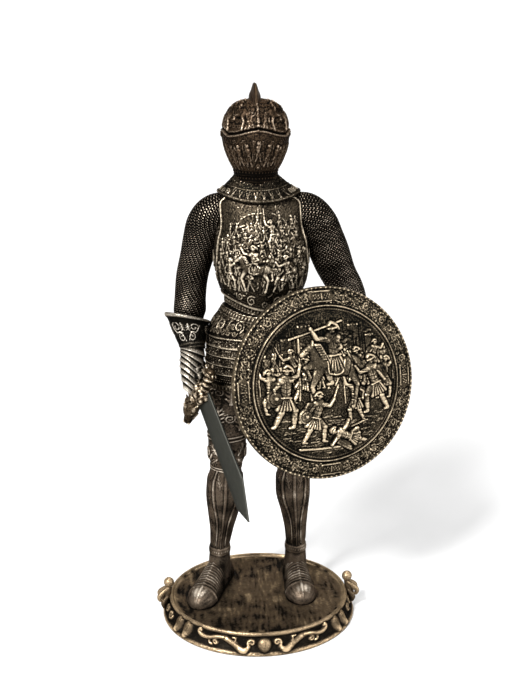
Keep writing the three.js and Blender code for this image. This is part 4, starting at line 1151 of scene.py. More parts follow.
@dataclass
class Cuirass:
    """The breastplate and back plate: a battle in front between rolled armholes, and scrolls behind."""

    radius: float = 27.0
    columns: int = 336
    rows: int = 142
    top: float = 257.0
    worn_and_painted_light: Place = (1.3, 0.65, 0.28)

    def body(self) -> Sections:
        """The trunk from the waist to the yoke."""
        return Sections(
            [
                [3, 9, 188, 22.6, 20.5, 13.5], [3, 9, 192, 22.8, 23, 14], [3, 9, 199, 24.4, 27, 15],
                [2.8, 9, 206, 26.4, 28.6, 16], [2.5, 9, 216, 28, 28, 17], [2.2, 9, 227, 28.1, 25.6, 17.5],
                [1.8, 9, 239, 26.2, 21.5, 17], [1.2, 9, 250, 26, 17, 15.5], [0.6, 9, 257, 18, 13.5, 13],
            ],
            keel=0.8,
        )

    def edge(self, across: Array) -> Array:
        """The height of the lower edge, which dips in the middle of the front."""
        return 197 - 6.8 * np.clip(np.cos(across / self.radius), 0, 1) ** 3

    def battle(self, canvas: Canvas) -> None:
        """Ranks of men and riders on the front, small at the back of the crowd and large before it."""
        dice = np.random.default_rng(21)
        canvas.clutter((-34, 34, 196, 236), 170, 3.4, 0.5, 3)
        weapons = [Weapon.SPEAR, Weapon.SWORD, Weapon.NONE, Weapon.BANNER, Weapon.SPEAR]
        for floor, size, pitch, reach in ((231, 8, 4.4, 20), (223, 9.5, 5.2, 26), (213, 11, 6.2, 28), (203, 12, 7, 29)):
            for x in np.arange(-reach, reach, pitch):
                stance = Stance(
                    lean=dice.uniform(-0.3, 0.4),
                    stride=dice.uniform(0.2, 0.6),
                    lift=dice.uniform(-0.4, 1.2),
                    weapon=weapons[dice.integers(5)],
                    shield=bool(dice.random() < 0.35),
                    kilt=bool(dice.random() < 0.6),
                )
                flip = 1 if dice.random() < 0.5 else -1
                spot = (x + dice.uniform(-1, 1), floor + dice.uniform(-1.5, 1.5))
                if dice.random() < 0.3:
                    canvas.carve(warrior(spot, size * dice.uniform(1.1, 1.4), flip, RIDER), moat=0.45, gap=0.45)
                else:
                    canvas.carve(soldier(spot, size * dice.uniform(0.9, 1.15), flip, stance), moat=0.45, gap=0.45)
        canvas.carve(warrior((5, 226), 16, -1, SPEARMAN, target=True), moat=0.55)
        canvas.carve(warrior((-20.5, 203.5), 17, 1, SPEARMAN), moat=0.55)
        canvas.carve(warrior((13, 203), 20, 1, SWORDSMAN, target=True), moat=0.6, shine=0.04)
        canvas.carve(warrior((-6, 202.5), 22, 1, RIDER), moat=0.6, shine=0.04)
        for x, y, size in ((-9, 196.5, 3.4), (0, 194.6, 2.6), (8, 196.8, 3.0), (-17, 199, 2.6), (17, 199.6, 2.6)):
            canvas.carve(spiral((x, y), size, 1.3, 0.6 * x, 1 if x < 0 else -1, 0.45, 0.6), moat=0.3)

    def back(self, canvas: Canvas) -> None:
        """Large leaf scrolls either side of a cord down the spine."""
        half = np.pi * self.radius
        for hand in (-1, 1):
            for floor, size in ((205, 5.0), (218, 6.5), (233, 6.0), (246, 4.2)):
                for reach in (12, 27, 41):
                    x = hand * (half - reach)
                    turn = 1 if (reach > 20) == (hand > 0) else -1
                    canvas.carve(spiral((x, floor), size, 1.7, 0.8, turn, 0.8, 0.85), moat=0.35)
                    canvas.carve(leaf((x, floor + size * 0.9), (x + hand * 5.5, floor + size * 1.7), 1.9, 0.7))
        behind = half - np.abs(canvas.u)
        canvas.height += 0.9 * hump(behind, 1.2) * (0.7 + 0.3 * np.sin(2 * np.pi * (canvas.v + behind) / 2.2))

    def paint(self) -> Canvas:
        """All the carving of the trunk."""
        half = np.pi * self.radius
        canvas = Canvas((-half, half), (186, 258))
        canvas.roughen(0.2, 0.45, 23)
        self.battle(canvas)
        self.back(canvas)
        for x in (-13, -8.5, -4, -1, 2.5, 6, 11, 15):
            canvas.line([(x, 238 + 0.1 * x), (x + 0.4, 248 - 0.12 * abs(x))], 0.22, 0.3)
        canvas.line([(-17, 237), (-13, 242.5), (-7, 245.5), (0, 246.2)], 0.45, 0.45, 0.06)
        canvas.line([(-20, 232), (-17, 236.5), (-12, 239), (-6, 240)], 0.4, 0.4, 0.05)
        canvas.line([(6, 246), (12, 243.5), (16.5, 238)], 0.4, 0.4, 0.05)
        canvas.carve(soldier((-3, 237.5), 8.5, 1, Stance(weapon=Weapon.BANNER, lift=0.9)), moat=0.35)
        canvas.carve(soldier((10.5, 238), 9, -1, Stance(weapon=Weapon.SPEAR, lift=0.7)), moat=0.35)
        canvas.clutter((-19, 19, 239, 252), 70, 2.2, 0.25, 8)
        up = np.array([254, 250, 239, 226, 217, 208])
        out = np.array([27.5, 28.7, 28.4, 30.7, 33, 36.5])
        for hand in (-1, 1):
            canvas.carve(stroke(list(zip(hand * out, up)), 0.6, 0.9), moat=0.5, gap=0.9, shine=-0.3)
            path = [(hand * (36.5 + 6 * t), 208 - 10 * t) for t in np.linspace(0, 1, 12)]
            canvas.carve(stroke(path, 0.6, 0.8), moat=0.4, shine=-0.2)
        edge = self.edge(canvas.u)
        over = canvas.v - edge
        canvas.height *= ease(1.6, 2.6, over)
        canvas.height += 0.9 * hump(over - 0.7, 1.0) + 0.35 * hump(over - 2.6, 0.4)
        canvas.shine += 0.06 * hump(over - 0.7, 0.8)
        canvas.shine += 0.04 * ease(234, 244, canvas.v) * ease(24, 16, np.abs(canvas.u))
        return canvas

    def build(self) -> Casting:
        """The trunk as one piece."""
        u, t = around(self.radius, self.columns, np.linspace(0, 1, self.rows)[:, None])
        edge = self.edge(u)
        v = edge + (self.top - edge) * t
        piece = Casting("knight_cuirass")
        piece.add(*self.paint().dress(self.body().points(angle_of(u, self.radius), v), u, v, self.worn_and_painted_light))
        return piece


@dataclass
class Faulds:
    """What hangs from the waist: two belts, the hip plates, the lames and a hem of mail."""

    radius: float = 30.0
    columns: int = 364
    rows: int = 122
    ends: Point = (140.2, 199.8)
    worn_and_painted_light: Place = (1.3, 0.52, 0.27)

    def body(self) -> Sections:
        """The waist and hips."""
        return Sections(
            [
                [3, 9, 200, 21.5, 17, 13], [2.8, 9, 192, 21.8, 18, 13.4], [2.4, 9, 188, 23.2, 18.6, 14],
                [1.8, 8.5, 180, 28.4, 20.5, 17], [1.6, 8, 172, 31.8, 22.5, 20], [2, 8, 160, 33.2, 23.5, 22],
                [2.2, 8, 150, 33.8, 23.5, 22.5], [2.2, 8, 140, 33.4, 22.5, 22],
            ]
        )

    def paint(self) -> Canvas:
        """Carving by height: belts over 186, plates down to 172, four lames down to 150, and mail to the hem."""
        half = np.pi * self.radius
        canvas = Canvas((-half, half), (140, 200))
        canvas.roughen(0.16, 0.45, 33)
        canvas.filigree((-half, half, 173.5, 185.5), 4.2, 0.7, 31, width=0.15)
        for k in range(-6, 7):
            x = k * 2 * half / 13
            canvas.carve(spiral((x, 179.5), 3.6, 1.5, 1.2 * k, hand_of(k), 0.7, 1.0), moat=0.4)
            canvas.carve(leaf((x + 5.5, 176), (x + 7.5, 184), 1.8, 0.8), moat=0.3)
        dip = np.clip(np.cos(canvas.u / self.radius), 0, 1) ** 3
        for z, fall in ((193.2, 5.0), (187.2, 4.0)):
            off = canvas.v - (z - fall * dip)
            band = ease(2.0, 1.7, np.abs(off))
            knots = hump(saw(canvas.u, 2.6) * 2.6 - 1.3, 0.9) * hump(off, 1.1)
            canvas.height = canvas.height * (1 - band) + band * (0.65 + 0.45 * knots)
            canvas.height += 0.4 * (hump(off - 1.8, 0.35) + hump(off + 1.8, 0.35))
            canvas.shine += 0.06 * (hump(off - 1.8, 0.35) + hump(off + 1.8, 0.35)) + 0.1 * band * knots
        canvas.height = np.where(canvas.v < 172.2, -0.15, canvas.height)
        canvas.roughen(0.85 * (canvas.v < 171.4) * (canvas.v > 150.5), 0.42, 35)
        for z in (172, 166.5, 161, 155.5, 150):
            off = z - canvas.v
            canvas.height *= ease(0.5, 0.9, np.abs(off))
            canvas.height += 0.8 * hump(off, 0.34) + 0.3 * hump(off - 4.6, 0.25) * (z > 151)
            canvas.shine += 0.07 * ease(0.5, 1.0, off) * ease(5.2, 4.6, off) * (z > 151)
        mail = ease(149.6, 149.2, canvas.v) * ease(143.4, 143.8, canvas.v)
        rings, glint = mail_rings(canvas.u, canvas.v, 1.5, 1.3)
        canvas.height += mail * rings
        # The mail's painted glints are added here.
        canvas.shine += mail * (glint - 0.2)
        hem = ease(143.9, 143.5, canvas.v)
        canvas.height += hem * (1.0 + 0.3 * np.sin(2 * np.pi * canvas.u / 2.4) * hump(canvas.v - 141.8, 1.1))
        canvas.shine += 0.1 * hem
        return canvas

    def build(self) -> Casting:
        """The skirt as one piece."""
        u, v = around(self.radius, self.columns, np.linspace(*self.ends, self.rows)[:, None])
        piece = Casting("knight_faulds")
        piece.add(*self.paint().dress(self.body().points(angle_of(u, self.radius), v), u, v, self.worn_and_painted_light))
        return piece


def mail_rings(across: Array, up: Array, wide: float, tall: float) -> tuple[Array, Array]:
    """Linked rings, each row half a ring along: 0.46 sqrt(1 - ((d - r) / w)^2) at a distance d from a ring's middle.
    One half of each lies over the next row, is the more rubbed and carries a painted glint.

    Args:
        across: Places across.
        up: Places up.
        wide: The pitch along a row.
        tall: The pitch of the rows.

    Returns:
        The heights, and what to add to the rubbing: a painted glint on each ring, less a little all over.
    """
    height = np.full(np.broadcast(across, up).shape, -0.22)
    glint = np.zeros_like(height)
    base = np.floor(up / tall)
    for step in (-1, 0, 1):
        row = base + step
        shift = 0.5 * wide * np.mod(row, 2)
        x = np.mod(across - shift, wide) - wide / 2
        y = up - (row + 0.5) * tall
        off = np.hypot(x, y * 0.86)
        body = hump(off - 0.34 * wide, 0.18 * wide)
        height = np.maximum(height, 0.46 * body - 0.14 * y / tall - 0.22)
        glint = np.maximum(glint, body**2 * ease(0.0, -0.5, (y + 0.25 * x) / tall))
    return height, glint - 0.11


@dataclass
class Sleeve:
    """A sleeve of mail along an arm: x, y, z and radius at each row."""

    name: str
    rows: list
    rings: int = 196
    columns: int = 166

    def build(self) -> Casting:
        """The sleeve as one piece, with the rings of mail as a pattern of its length and girth."""
        table = np.array([[x, y, z + SOLE, r] for x, y, z, r in self.rows])
        body = respaced(smooth(table, 12), self.rings)
        along = run_of(np.linalg.norm(np.diff(body[:, :3], axis=0), axis=1))[:, None]
        girth = 2 * np.pi * float(np.median(body[:, 3]))
        links = round(girth / 1.45)
        across = (girth * np.arange(self.columns) / self.columns)[None, :]
        slant = 8 * 1.15 / girth
        heights, glint = mail_rings(across, along + slant * across, girth / links, 1.15)
        crease = 0.35 * np.sin(along / 5.5 + 2.0 * np.sin(across / girth * 2 * np.pi)) * ease(30, 55, along)
        bare = tube(body[:, :3], body[:, 3] - 0.15, self.columns)
        piece = Casting(self.name)
        # The mail's painted glints and the creases are added to how rubbed it is.
        piece.add(raised(bare, heights + crease), np.clip(0.05 + glint + 0.1 * crease, 0, 1))
        return piece


def cuff(
    piece: Casting, rim: Place, wrist: Place, radii: Point, facing: Place, seed: int, columns: int = 128
) -> None:
    """Adds a flared cuff: an inner wall, a rolled rim and an embossed outer wall, its rings turning to face along it.

    Args:
        piece: What it is added to.
        rim: The middle of the rim, on the figure.
        wrist: The middle of the wrist.
        radii: At the rim and at the wrist.
        facing: The way the rim faces.
        seed: Of the random numbers.
        columns: Points round it.
    """
    a, b = figure(*rim), figure(*wrist)
    knots = np.array(
        [
            [0.3, 0.8],
            [0.12, 0.9],
            [0.0, 0.955],
            [-0.045, 1.0],
            [-0.04, 1.05],
            [0.01, 1.075],
            [0.06, 1.04],
            [0.1, 0.965],
            [0.3, 0.845],
            [0.5, 0.75],
            [0.7, 0.66],
            [0.86, 0.585],
            [1.0, radii[1] / radii[0]],
        ]
    )
    fine = respaced(smooth(knots * (1, radii[0] / np.linalg.norm(b - a)), 8), 84, 2)
    t, size = fine[:, 0], fine[:, 1] * np.linalg.norm(b - a)
    normals = unit(np.array(facing)) * (1 - t[:, None]) + unit(b - a) * t[:, None]
    path = a + (b - a) * t[:, None]
    length = float(np.linalg.norm(b - a))
    half = np.pi * radii[0] * 0.8
    canvas = Canvas((-half, half), (-2, length + 2))
    canvas.roughen(0.14, 0.45, seed)
    for k in range(6):
        x = -half + (k + 0.5) * half / 3
        hand = hand_of(k)
        canvas.carve(spiral((x, 6.6), 3.3, 1.3, 1.2, hand, 0.34, 0.5), moat=0.25)
        canvas.carve(spiral((x + 2.2 * hand, 12.6), 2.7, 1.2, -1.9, -hand, 0.32, 0.5), moat=0.25)
        stem = [(x - 3.2 * hand, 5), (x - 1.2 * hand, 9.6), (x + 2 * hand, 9.8), (x + 4.4 * hand, 15)]
        canvas.carve(stroke(stem, [0.3, 0.34, 0.34, 0.22], 0.5), moat=0.25)
        canvas.carve(leaf((x + 3.4 * hand, 4.4), (x + 3.9 * hand, 9.2), 1.3, 0.45, lobes=3), moat=0.2)
    u, v = np.broadcast_arrays((half * (2 * np.arange(columns) / columns - 1))[None, :], (t * length)[:, None])
    outer = (np.arange(len(t)) > 38)[:, None]
    heights = np.where(outer, canvas.sample(canvas.height, u, v), 0.0)
    wear_and_painted_light = np.where(outer, canvas.sample(canvas.wear_and_painted_light(1.2, 1.3, 0.12), u, v), 0.1)
    rolled = np.exp(-(((size / radii[0] - 1.065) / 0.035) ** 2))[:, None]
    grooves = 0.3 * hump(v - length + 1.2, 0.6) + 0.3 * hump(v - length + 3.4, 0.6)
    bare = tube(path, size, columns, normals)
    piece.add(raised(bare, heights * (1 - rolled) + grooves), np.clip(wear_and_painted_light + 0.54 * rolled + 0.8 * grooves, 0, 1))


def lames(piece: Casting, rows: list, count: int, last: Array, columns: int = 90) -> None:
    """Adds plates along a hand, each flaring over the next, with a bright edge.

    Args:
        piece: What it is added to.
        rows: x, y, z and radius along the hand, on the figure.
        count: How many plates.
        last: The way the last plate faces.
        columns: Points round it.
    """
    table = np.array([[x, y, z + SOLE, r] for x, y, z, r in rows])
    body = respaced(smooth(table, 10), 88)
    t = np.linspace(0, 1, 88)
    start = unit(body[1, :3] - body[0, :3])
    lean = np.clip(t * 3, 0, 1)[:, None]
    normals = start * (1 - lean) + unit(last) * lean
    through = saw(t * count * 0.999, 1.0)
    flare = 0.85 * through**1.6 - 0.25
    edge = hump(through - 0.9, 0.12)
    a = circle(columns)
    ridges = 0.05 * np.sin(a * 30)[None, :] * ease(0.1, 0.4, through)[:, None]
    radii = (body[:, 3] + flare + 0.12 * edge)[:, None] + ridges
    wear_and_painted_light = 0.04 + 0.6 * ease(0.12, 0.55, through) + 0.2 * edge
    piece.add(tube(body[:, :3], radii, columns, normals), np.clip(wear_and_painted_light[:, None] + 1.4 * ridges, 0, 1))


def finger(piece: Casting, points: list, radius: float) -> None:
    """Adds one plated finger: a limb whose radius dips between its short plates.

    Args:
        piece: What it is added to.
        points: Where it runs, in the frame's millimetres.
        radius: Its largest radius.
    """
    body = respaced(smooth(np.array(points), 8), 34)
    t = np.linspace(0, 1, 34)
    through = saw(t * 5, 1.0)
    radii = radius * (1 - 0.25 * t**3) + 0.3 * through - 0.3
    ends = np.clip(np.minimum(t, 1 - t) * 9, 0, 1) ** 0.5
    wear_and_painted_light = np.clip(0.1 + 0.6 * ease(0.3, 0.9, through), 0, 1)
    piece.add(tube(body, radii * np.maximum(ends, 0.05), 18), wear_and_painted_light[:, None])


def fist(piece: Casting, bar: Array, along: Array, outward: Array, reach: float, pitch: float, radius: float) -> None:
    """Adds four fingers round a bar, side by side along it.

    Args:
        piece: What it is added to.
        bar: The middle of the fist, in the frame's millimetres.
        along: The way the bar runs.
        outward: The way the knuckles face.
        reach: From the bar to a finger.
        pitch: From finger to finger.
        radius: Of a finger.
    """
    across = unit(np.cross(along, outward))
    for k in (-1.5, -0.5, 0.5, 1.5):
        root = bar + along * k * pitch
        bend = np.linspace(-0.95, 2.35, 7)
        points = [root + reach * (np.cos(a) * outward + np.sin(a) * across) for a in bend]
        finger(piece, points, radius)


@dataclass
class SwordHand:
    """The right gauntlet closed on the hilt, with the hilt's guard and its two beasts."""

    guard: Place = (-34.4, -12.8, 141.4)
    blade_line: Place = (0.28, -0.516, -0.809)
    guard_line: Place = (0.553, -0.602, 0.575)
    grip_radius: float = 2.8
    grip_length: float = 26.0

    def axes(self) -> tuple[Array, Array, Array]:
        """The way the blade points, the way the guard runs, and the face of the blade, square to each other."""
        blade = unit(np.array(self.blade_line))
        cross = np.array(self.guard_line)
        cross = unit(cross - blade * (cross @ blade))
        return blade, cross, np.cross(cross, blade)

    def spot(self, along: float, across: float, out: float = 0.0) -> Array:
        """A point of the hilt, in the frame's millimetres."""
        blade, cross, face = self.axes()
        return figure(*self.guard) + blade * along + cross * across + face * out

    def beast(self, piece: Casting, end: Array, facing: Array, crown: Array, size: float) -> None:
        """Adds a beast's head: skull, snout, jaw, ears, brows, eyes and a mane of tufts.

        Args:
            piece: What it is added to.
            end: The middle of the skull.
            facing: The way the snout points.
            crown: The way the top of the head points.
            size: About the radius of the skull.
        """
        facing = unit(facing)
        up = unit(crown - facing * (crown @ facing))
        side = np.cross(facing, up)

        def at(forward: float, rise: float, across: float, radius: float) -> Array:
            """A point of the head with a radius, as shares of its size."""
            spot = end + size * (facing * forward + up * rise + side * across)
            return np.append(spot, radius * size)

        def add(rows: list, wear_and_painted_light: float, sides: int = 14, rings: int = 12) -> None:
            """Adds one limb of the head."""
            piece.add(limb(rows, sides, rings), wear_and_painted_light)

        add([at(-1.5, -0.3, 0, 0.75), at(-0.5, 0, 0, 1.0), at(0.4, 0.1, 0, 0.92), at(1.2, -0.1, 0, 0.6)], 0.34, 24, 22)
        add([at(0.7, 0.05, 0, 0.6), at(1.4, -0.1, 0, 0.58), at(1.85, -0.2, 0, 0.56)], 0.26, 20, 14)
        add([at(1.7, 0.14, 0, 0.2), at(1.2, 0.3, 0, 0.24), at(0.5, 0.5, 0, 0.22)], 0.7, 10, 10)
        add([at(0.0, -0.6, 0, 0.45), at(0.8, -0.85, 0, 0.4), at(1.5, -0.86, 0, 0.36)], 0.3, 12, 10)
        for hand in (-1, 1):
            add([at(0.35, 0.72, 0.42 * hand, 0.2), at(0.95, 0.5, 0.34 * hand, 0.16)], 0.85, 8, 6)
            add([at(0.82, 0.36, 0.42 * hand, 0.13), at(0.84, 0.36, 0.43 * hand, 0.13)], 0.2, 8, 4)
            add([at(-0.2, 0.7, 0.5 * hand, 0.3), at(-0.75, 1.2, 0.7 * hand, 0.12)], 0.7, 8, 6)
            add([at(2.1, 0.05, 0.26 * hand, 0.2), at(2.2, -0.05, 0.28 * hand, 0.18)], 0.8, 8, 4)
            cheek = [at(0.5, -0.1, 0.82 * hand, 0.22), at(1.1, -0.3, 0.6 * hand, 0.2), at(1.6, -0.4, 0.5 * hand, 0.14)]
            add(cheek, 0.5)
        dice = np.random.default_rng(int(size * 10))
        for k in range(16):
            turn, back = 2 * np.pi * k / 16, dice.uniform(-0.9, -0.3)
            ring = dice.uniform(0.75, 0.95)
            root = at(back + 0.3, ring * np.sin(turn) * 0.9, ring * np.cos(turn) * 0.9, 0.24)
            tip = at(back - 0.6, 1.08 * np.sin(turn + 0.5), 1.08 * np.cos(turn + 0.5), 0.1)
            add([root, tip], 0.2 + 0.5 * dice.random(), 6, 6)

    def build(self) -> Casting:
        """The gauntlet as one piece."""
        piece = Casting("knight_sword_hand")
        blade = self.axes()[0]
        cuff(piece, (-41.9, 7, 181.5), (-38.8, -1, 163.5), (13, 7.2), (-0.2, -0.32, -1), 41)
        rows = [[-38.8, -0.8, 165, 6.8], [-39.9, -3.4, 158.5, 8.1], [-40.7, -6, 152, 8.1], [-41.6, -8, 146, 6.3]]
        lames(piece, [*rows, [-42.8, -10, 140.5, 3]], 8, np.array([-0.66, -0.3, -0.72]))
        thumb = np.array([0.75, 0.2, 0.1])
        thumb = unit(thumb - blade * (thumb @ blade))
        fist(piece, self.spot(-14, 0), blade, thumb, 5.3, 3.9, 2.35)
        finger(piece, [self.spot(-20, 3.5, -3), self.spot(-14, 5.5, -2), self.spot(-7.5, 4, 0)], 2.2)
        return piece

    def hilt(self) -> Casting:
        """The wound grip, the knotted block, the guard's two arms and its beasts as one piece."""
        piece = Casting("knight_sword_hilt")
        blade = self.axes()[0]
        grip = np.linspace(-self.grip_length, 0, 60)
        wound = self.grip_radius + 0.22 * np.sin(grip * 4.2)
        path = self.spot(0, 0) + blade * grip[:, None]
        piece.add(tube(path, wound, 20), np.clip(0.35 + 1.4 * (wound - self.grip_radius), 0, 1)[:, None])
        block = [(-5, 3.4), (-3.5, 4.3), (-1, 4.8), (1, 4.6), (3, 5.1), (5.5, 4.8), (7.0, 3.9)]
        rows = [np.append(self.spot(s, 0), r) for s, r in block]
        body = respaced(smooth(np.array(rows), 8), 44)
        beads = 0.35 * np.abs(np.sin(np.linspace(0, 9, 44) * 2))
        turn = circle(36)
        knots = 0.4 * np.sin(turn * 7 + 3)[None, :] * np.sin(np.linspace(0, 8, 44))[:, None]
        radii = (body[:, 3] + beads - 0.3)[:, None] + knots
        piece.add(tube(body[:, :3], radii, 36), np.clip(0.26 + 0.8 * beads[:, None] + knots, 0, 1))
        for route in ([(0, 0), (-1, 4), (-3, 8), (-6, 11.5)], [(0, 0), (0.5, -5), (1.5, -9), (4, -12.5)]):
            spots = smooth(np.array([self.spot(s, c) for s, c in route]), 8)
            spots = respaced(spots, 40)
            twist = 2.9 + 0.35 * np.sin(np.linspace(0, 26, 40))
            piece.add(tube(spots, twist, 18), np.clip(0.34 + (twist - 2.9), 0, 1)[:, None])
        for hand in (-1, 1):
            curl = [(4, 2 * hand, 3.5), (8, 3.2 * hand, 3.6), (10.5, 1.6 * hand, 2.4), (9.5, 0.2 * hand, 1.9)]
            rows = [np.append(self.spot(*p), 1.1 - 0.12 * i) for i, p in enumerate(curl)]
            piece.add(limb(rows, 10, 20), 0.7)
        self.beast(piece, self.spot(-7, 12.5), np.array([0.3, -0.85, -0.1]), np.array([0.1, 0, 1]), 3.1)
        self.beast(piece, self.spot(5, -13.5), np.array([-0.3, 0.2, -0.93]), np.array([-0.3, -0.9, 0.2]), 5.0)
        return piece


@dataclass
class Blade:
    """The plain steel blade: a flat bar that leans to one side, where its point begins further back."""

    length: float = 78.6
    width: float = 12.4
    spread: float = 1.2
    swing: float = 3.9
    thickness: float = 1.5
    point: float = 24.0
    clip: float = 9.3
    tang: float = 4.0
    ease: float = 0.28

    def build(self, hand: SwordHand) -> Casting:
        """The blade on the hilt's own lines. Across, each edge runs straight from the root to its side of the point,
        and from there to the tip.

        Args:
            hand: The hilt that holds it.

        Returns:
            The piece.
        """
        half, shoulder, clip = self.width / 2, self.length - self.point, self.length - self.clip
        spans = [np.linspace(0, shoulder, 50), np.linspace(shoulder, clip, 24)[1:]]
        along = np.concatenate([*spans, np.linspace(clip, self.length - 0.05, 24)[1:]])
        near = -half + (self.swing - self.spread / 2) * clip / shoulder
        left = np.interp(along, [0, clip, self.length], [-half, near, self.swing])
        right = np.interp(along, [0, shoulder, self.length], [half, half + self.swing + self.spread / 2, self.swing])
        slope = np.minimum(self.ease, (right - left) * 0.25)
        thick = self.thickness / 2
        low = thick - np.minimum(self.ease, thick * 0.6)
        top = [(left, low), (left + slope, thick), (right - slope, thick), (right, low)]
        ring = [*top, *[(x, -y) for x, y in reversed(top)]]
        blade, cross, face = hand.axes()
        root = hand.spot(7.2 - self.tang, 0)
        corners = [
            root + np.outer(along, blade) + np.outer(x, cross) + np.outer(y + 0 * along, face) for x, y in ring
        ]
        piece = Casting("sword_blade_steel")
        edges = np.array([1, 0.25, 0.25, 1, 1, 0.25, 0.25, 1])[None, :]
        piece.add(np.stack(corners, axis=1), edges + 0 * along[:, None])
        return piece


@dataclass
class ShieldSizes:
    """The round shield's own sizes and how it is held."""

    radius: float = 55.4
    wall: float = 3.2
    dome: float = 7.0
    border: float = 11.1
    handle_radius: float = 1.9
    handle_span: float = 30.0
    handle_rise: float = 8.5
    centre: Place = (35.2, -36.0, 152.8)
    swing: float = 15.8
    lean: float = 10.8

    def matrix(self) -> Array:
        """From the flat shield, with its face to -Y, to where the knight holds it."""
        turn = Matrix.Rotation(np.radians(self.swing), 4, "Z") @ Matrix.Rotation(-np.radians(self.lean), 4, "X")
        place = np.array(turn)
        place[:3, 3] = figure(*self.centre)
        return place

    def behind(self, radius: Array) -> Array:
        """How far back the middle of the wall lies at a radius: the dome falls as the square of the radius."""
        return -self.dome * (1 - (radius / self.radius) ** 2)


@dataclass
class ShieldHand:
    """The left gauntlet, closed on the handle behind the shield."""

    rim: Place = (54.6, 2.5, 187.5)
    wrist: Place = (47.0, -9.5, 173.5)

    def build(self, shield: ShieldSizes) -> Casting:
        """The gauntlet as one piece.

        Args:
            shield: Whose handle it holds.

        Returns:
            The piece.
        """
        piece = Casting("knight_shield_hand")
        place = shield.matrix()
        held = place[:3, :3] @ np.array([0, -shield.dome + shield.wall / 2 + shield.handle_rise, 0]) + place[:3, 3]
        along, outward = place[:3, 0], -place[:3, 1]
        palm = held - outward * 4
        cuff(piece, self.rim, self.wrist, (12.6, 6.6), (-0.4, -0.7, -0.8), 43, 84)
        end = palm - (0, 0, SOLE)
        middle = (np.array(self.wrist) + end) / 2
        rows = [[*self.wrist, 6.6], [*middle, 7.6], [*end, 8.2]]
        lames(piece, rows, 5, palm - figure(*self.wrist), 48)
        knuckles = [np.append(palm + along * s, 6.4) for s in (-4, 0, 4)]
        piece.add(limb(knuckles, 32, 24), 0.45)
        fist(piece, held, along, outward, 4.5, 4.2, 2.3)
        return piece


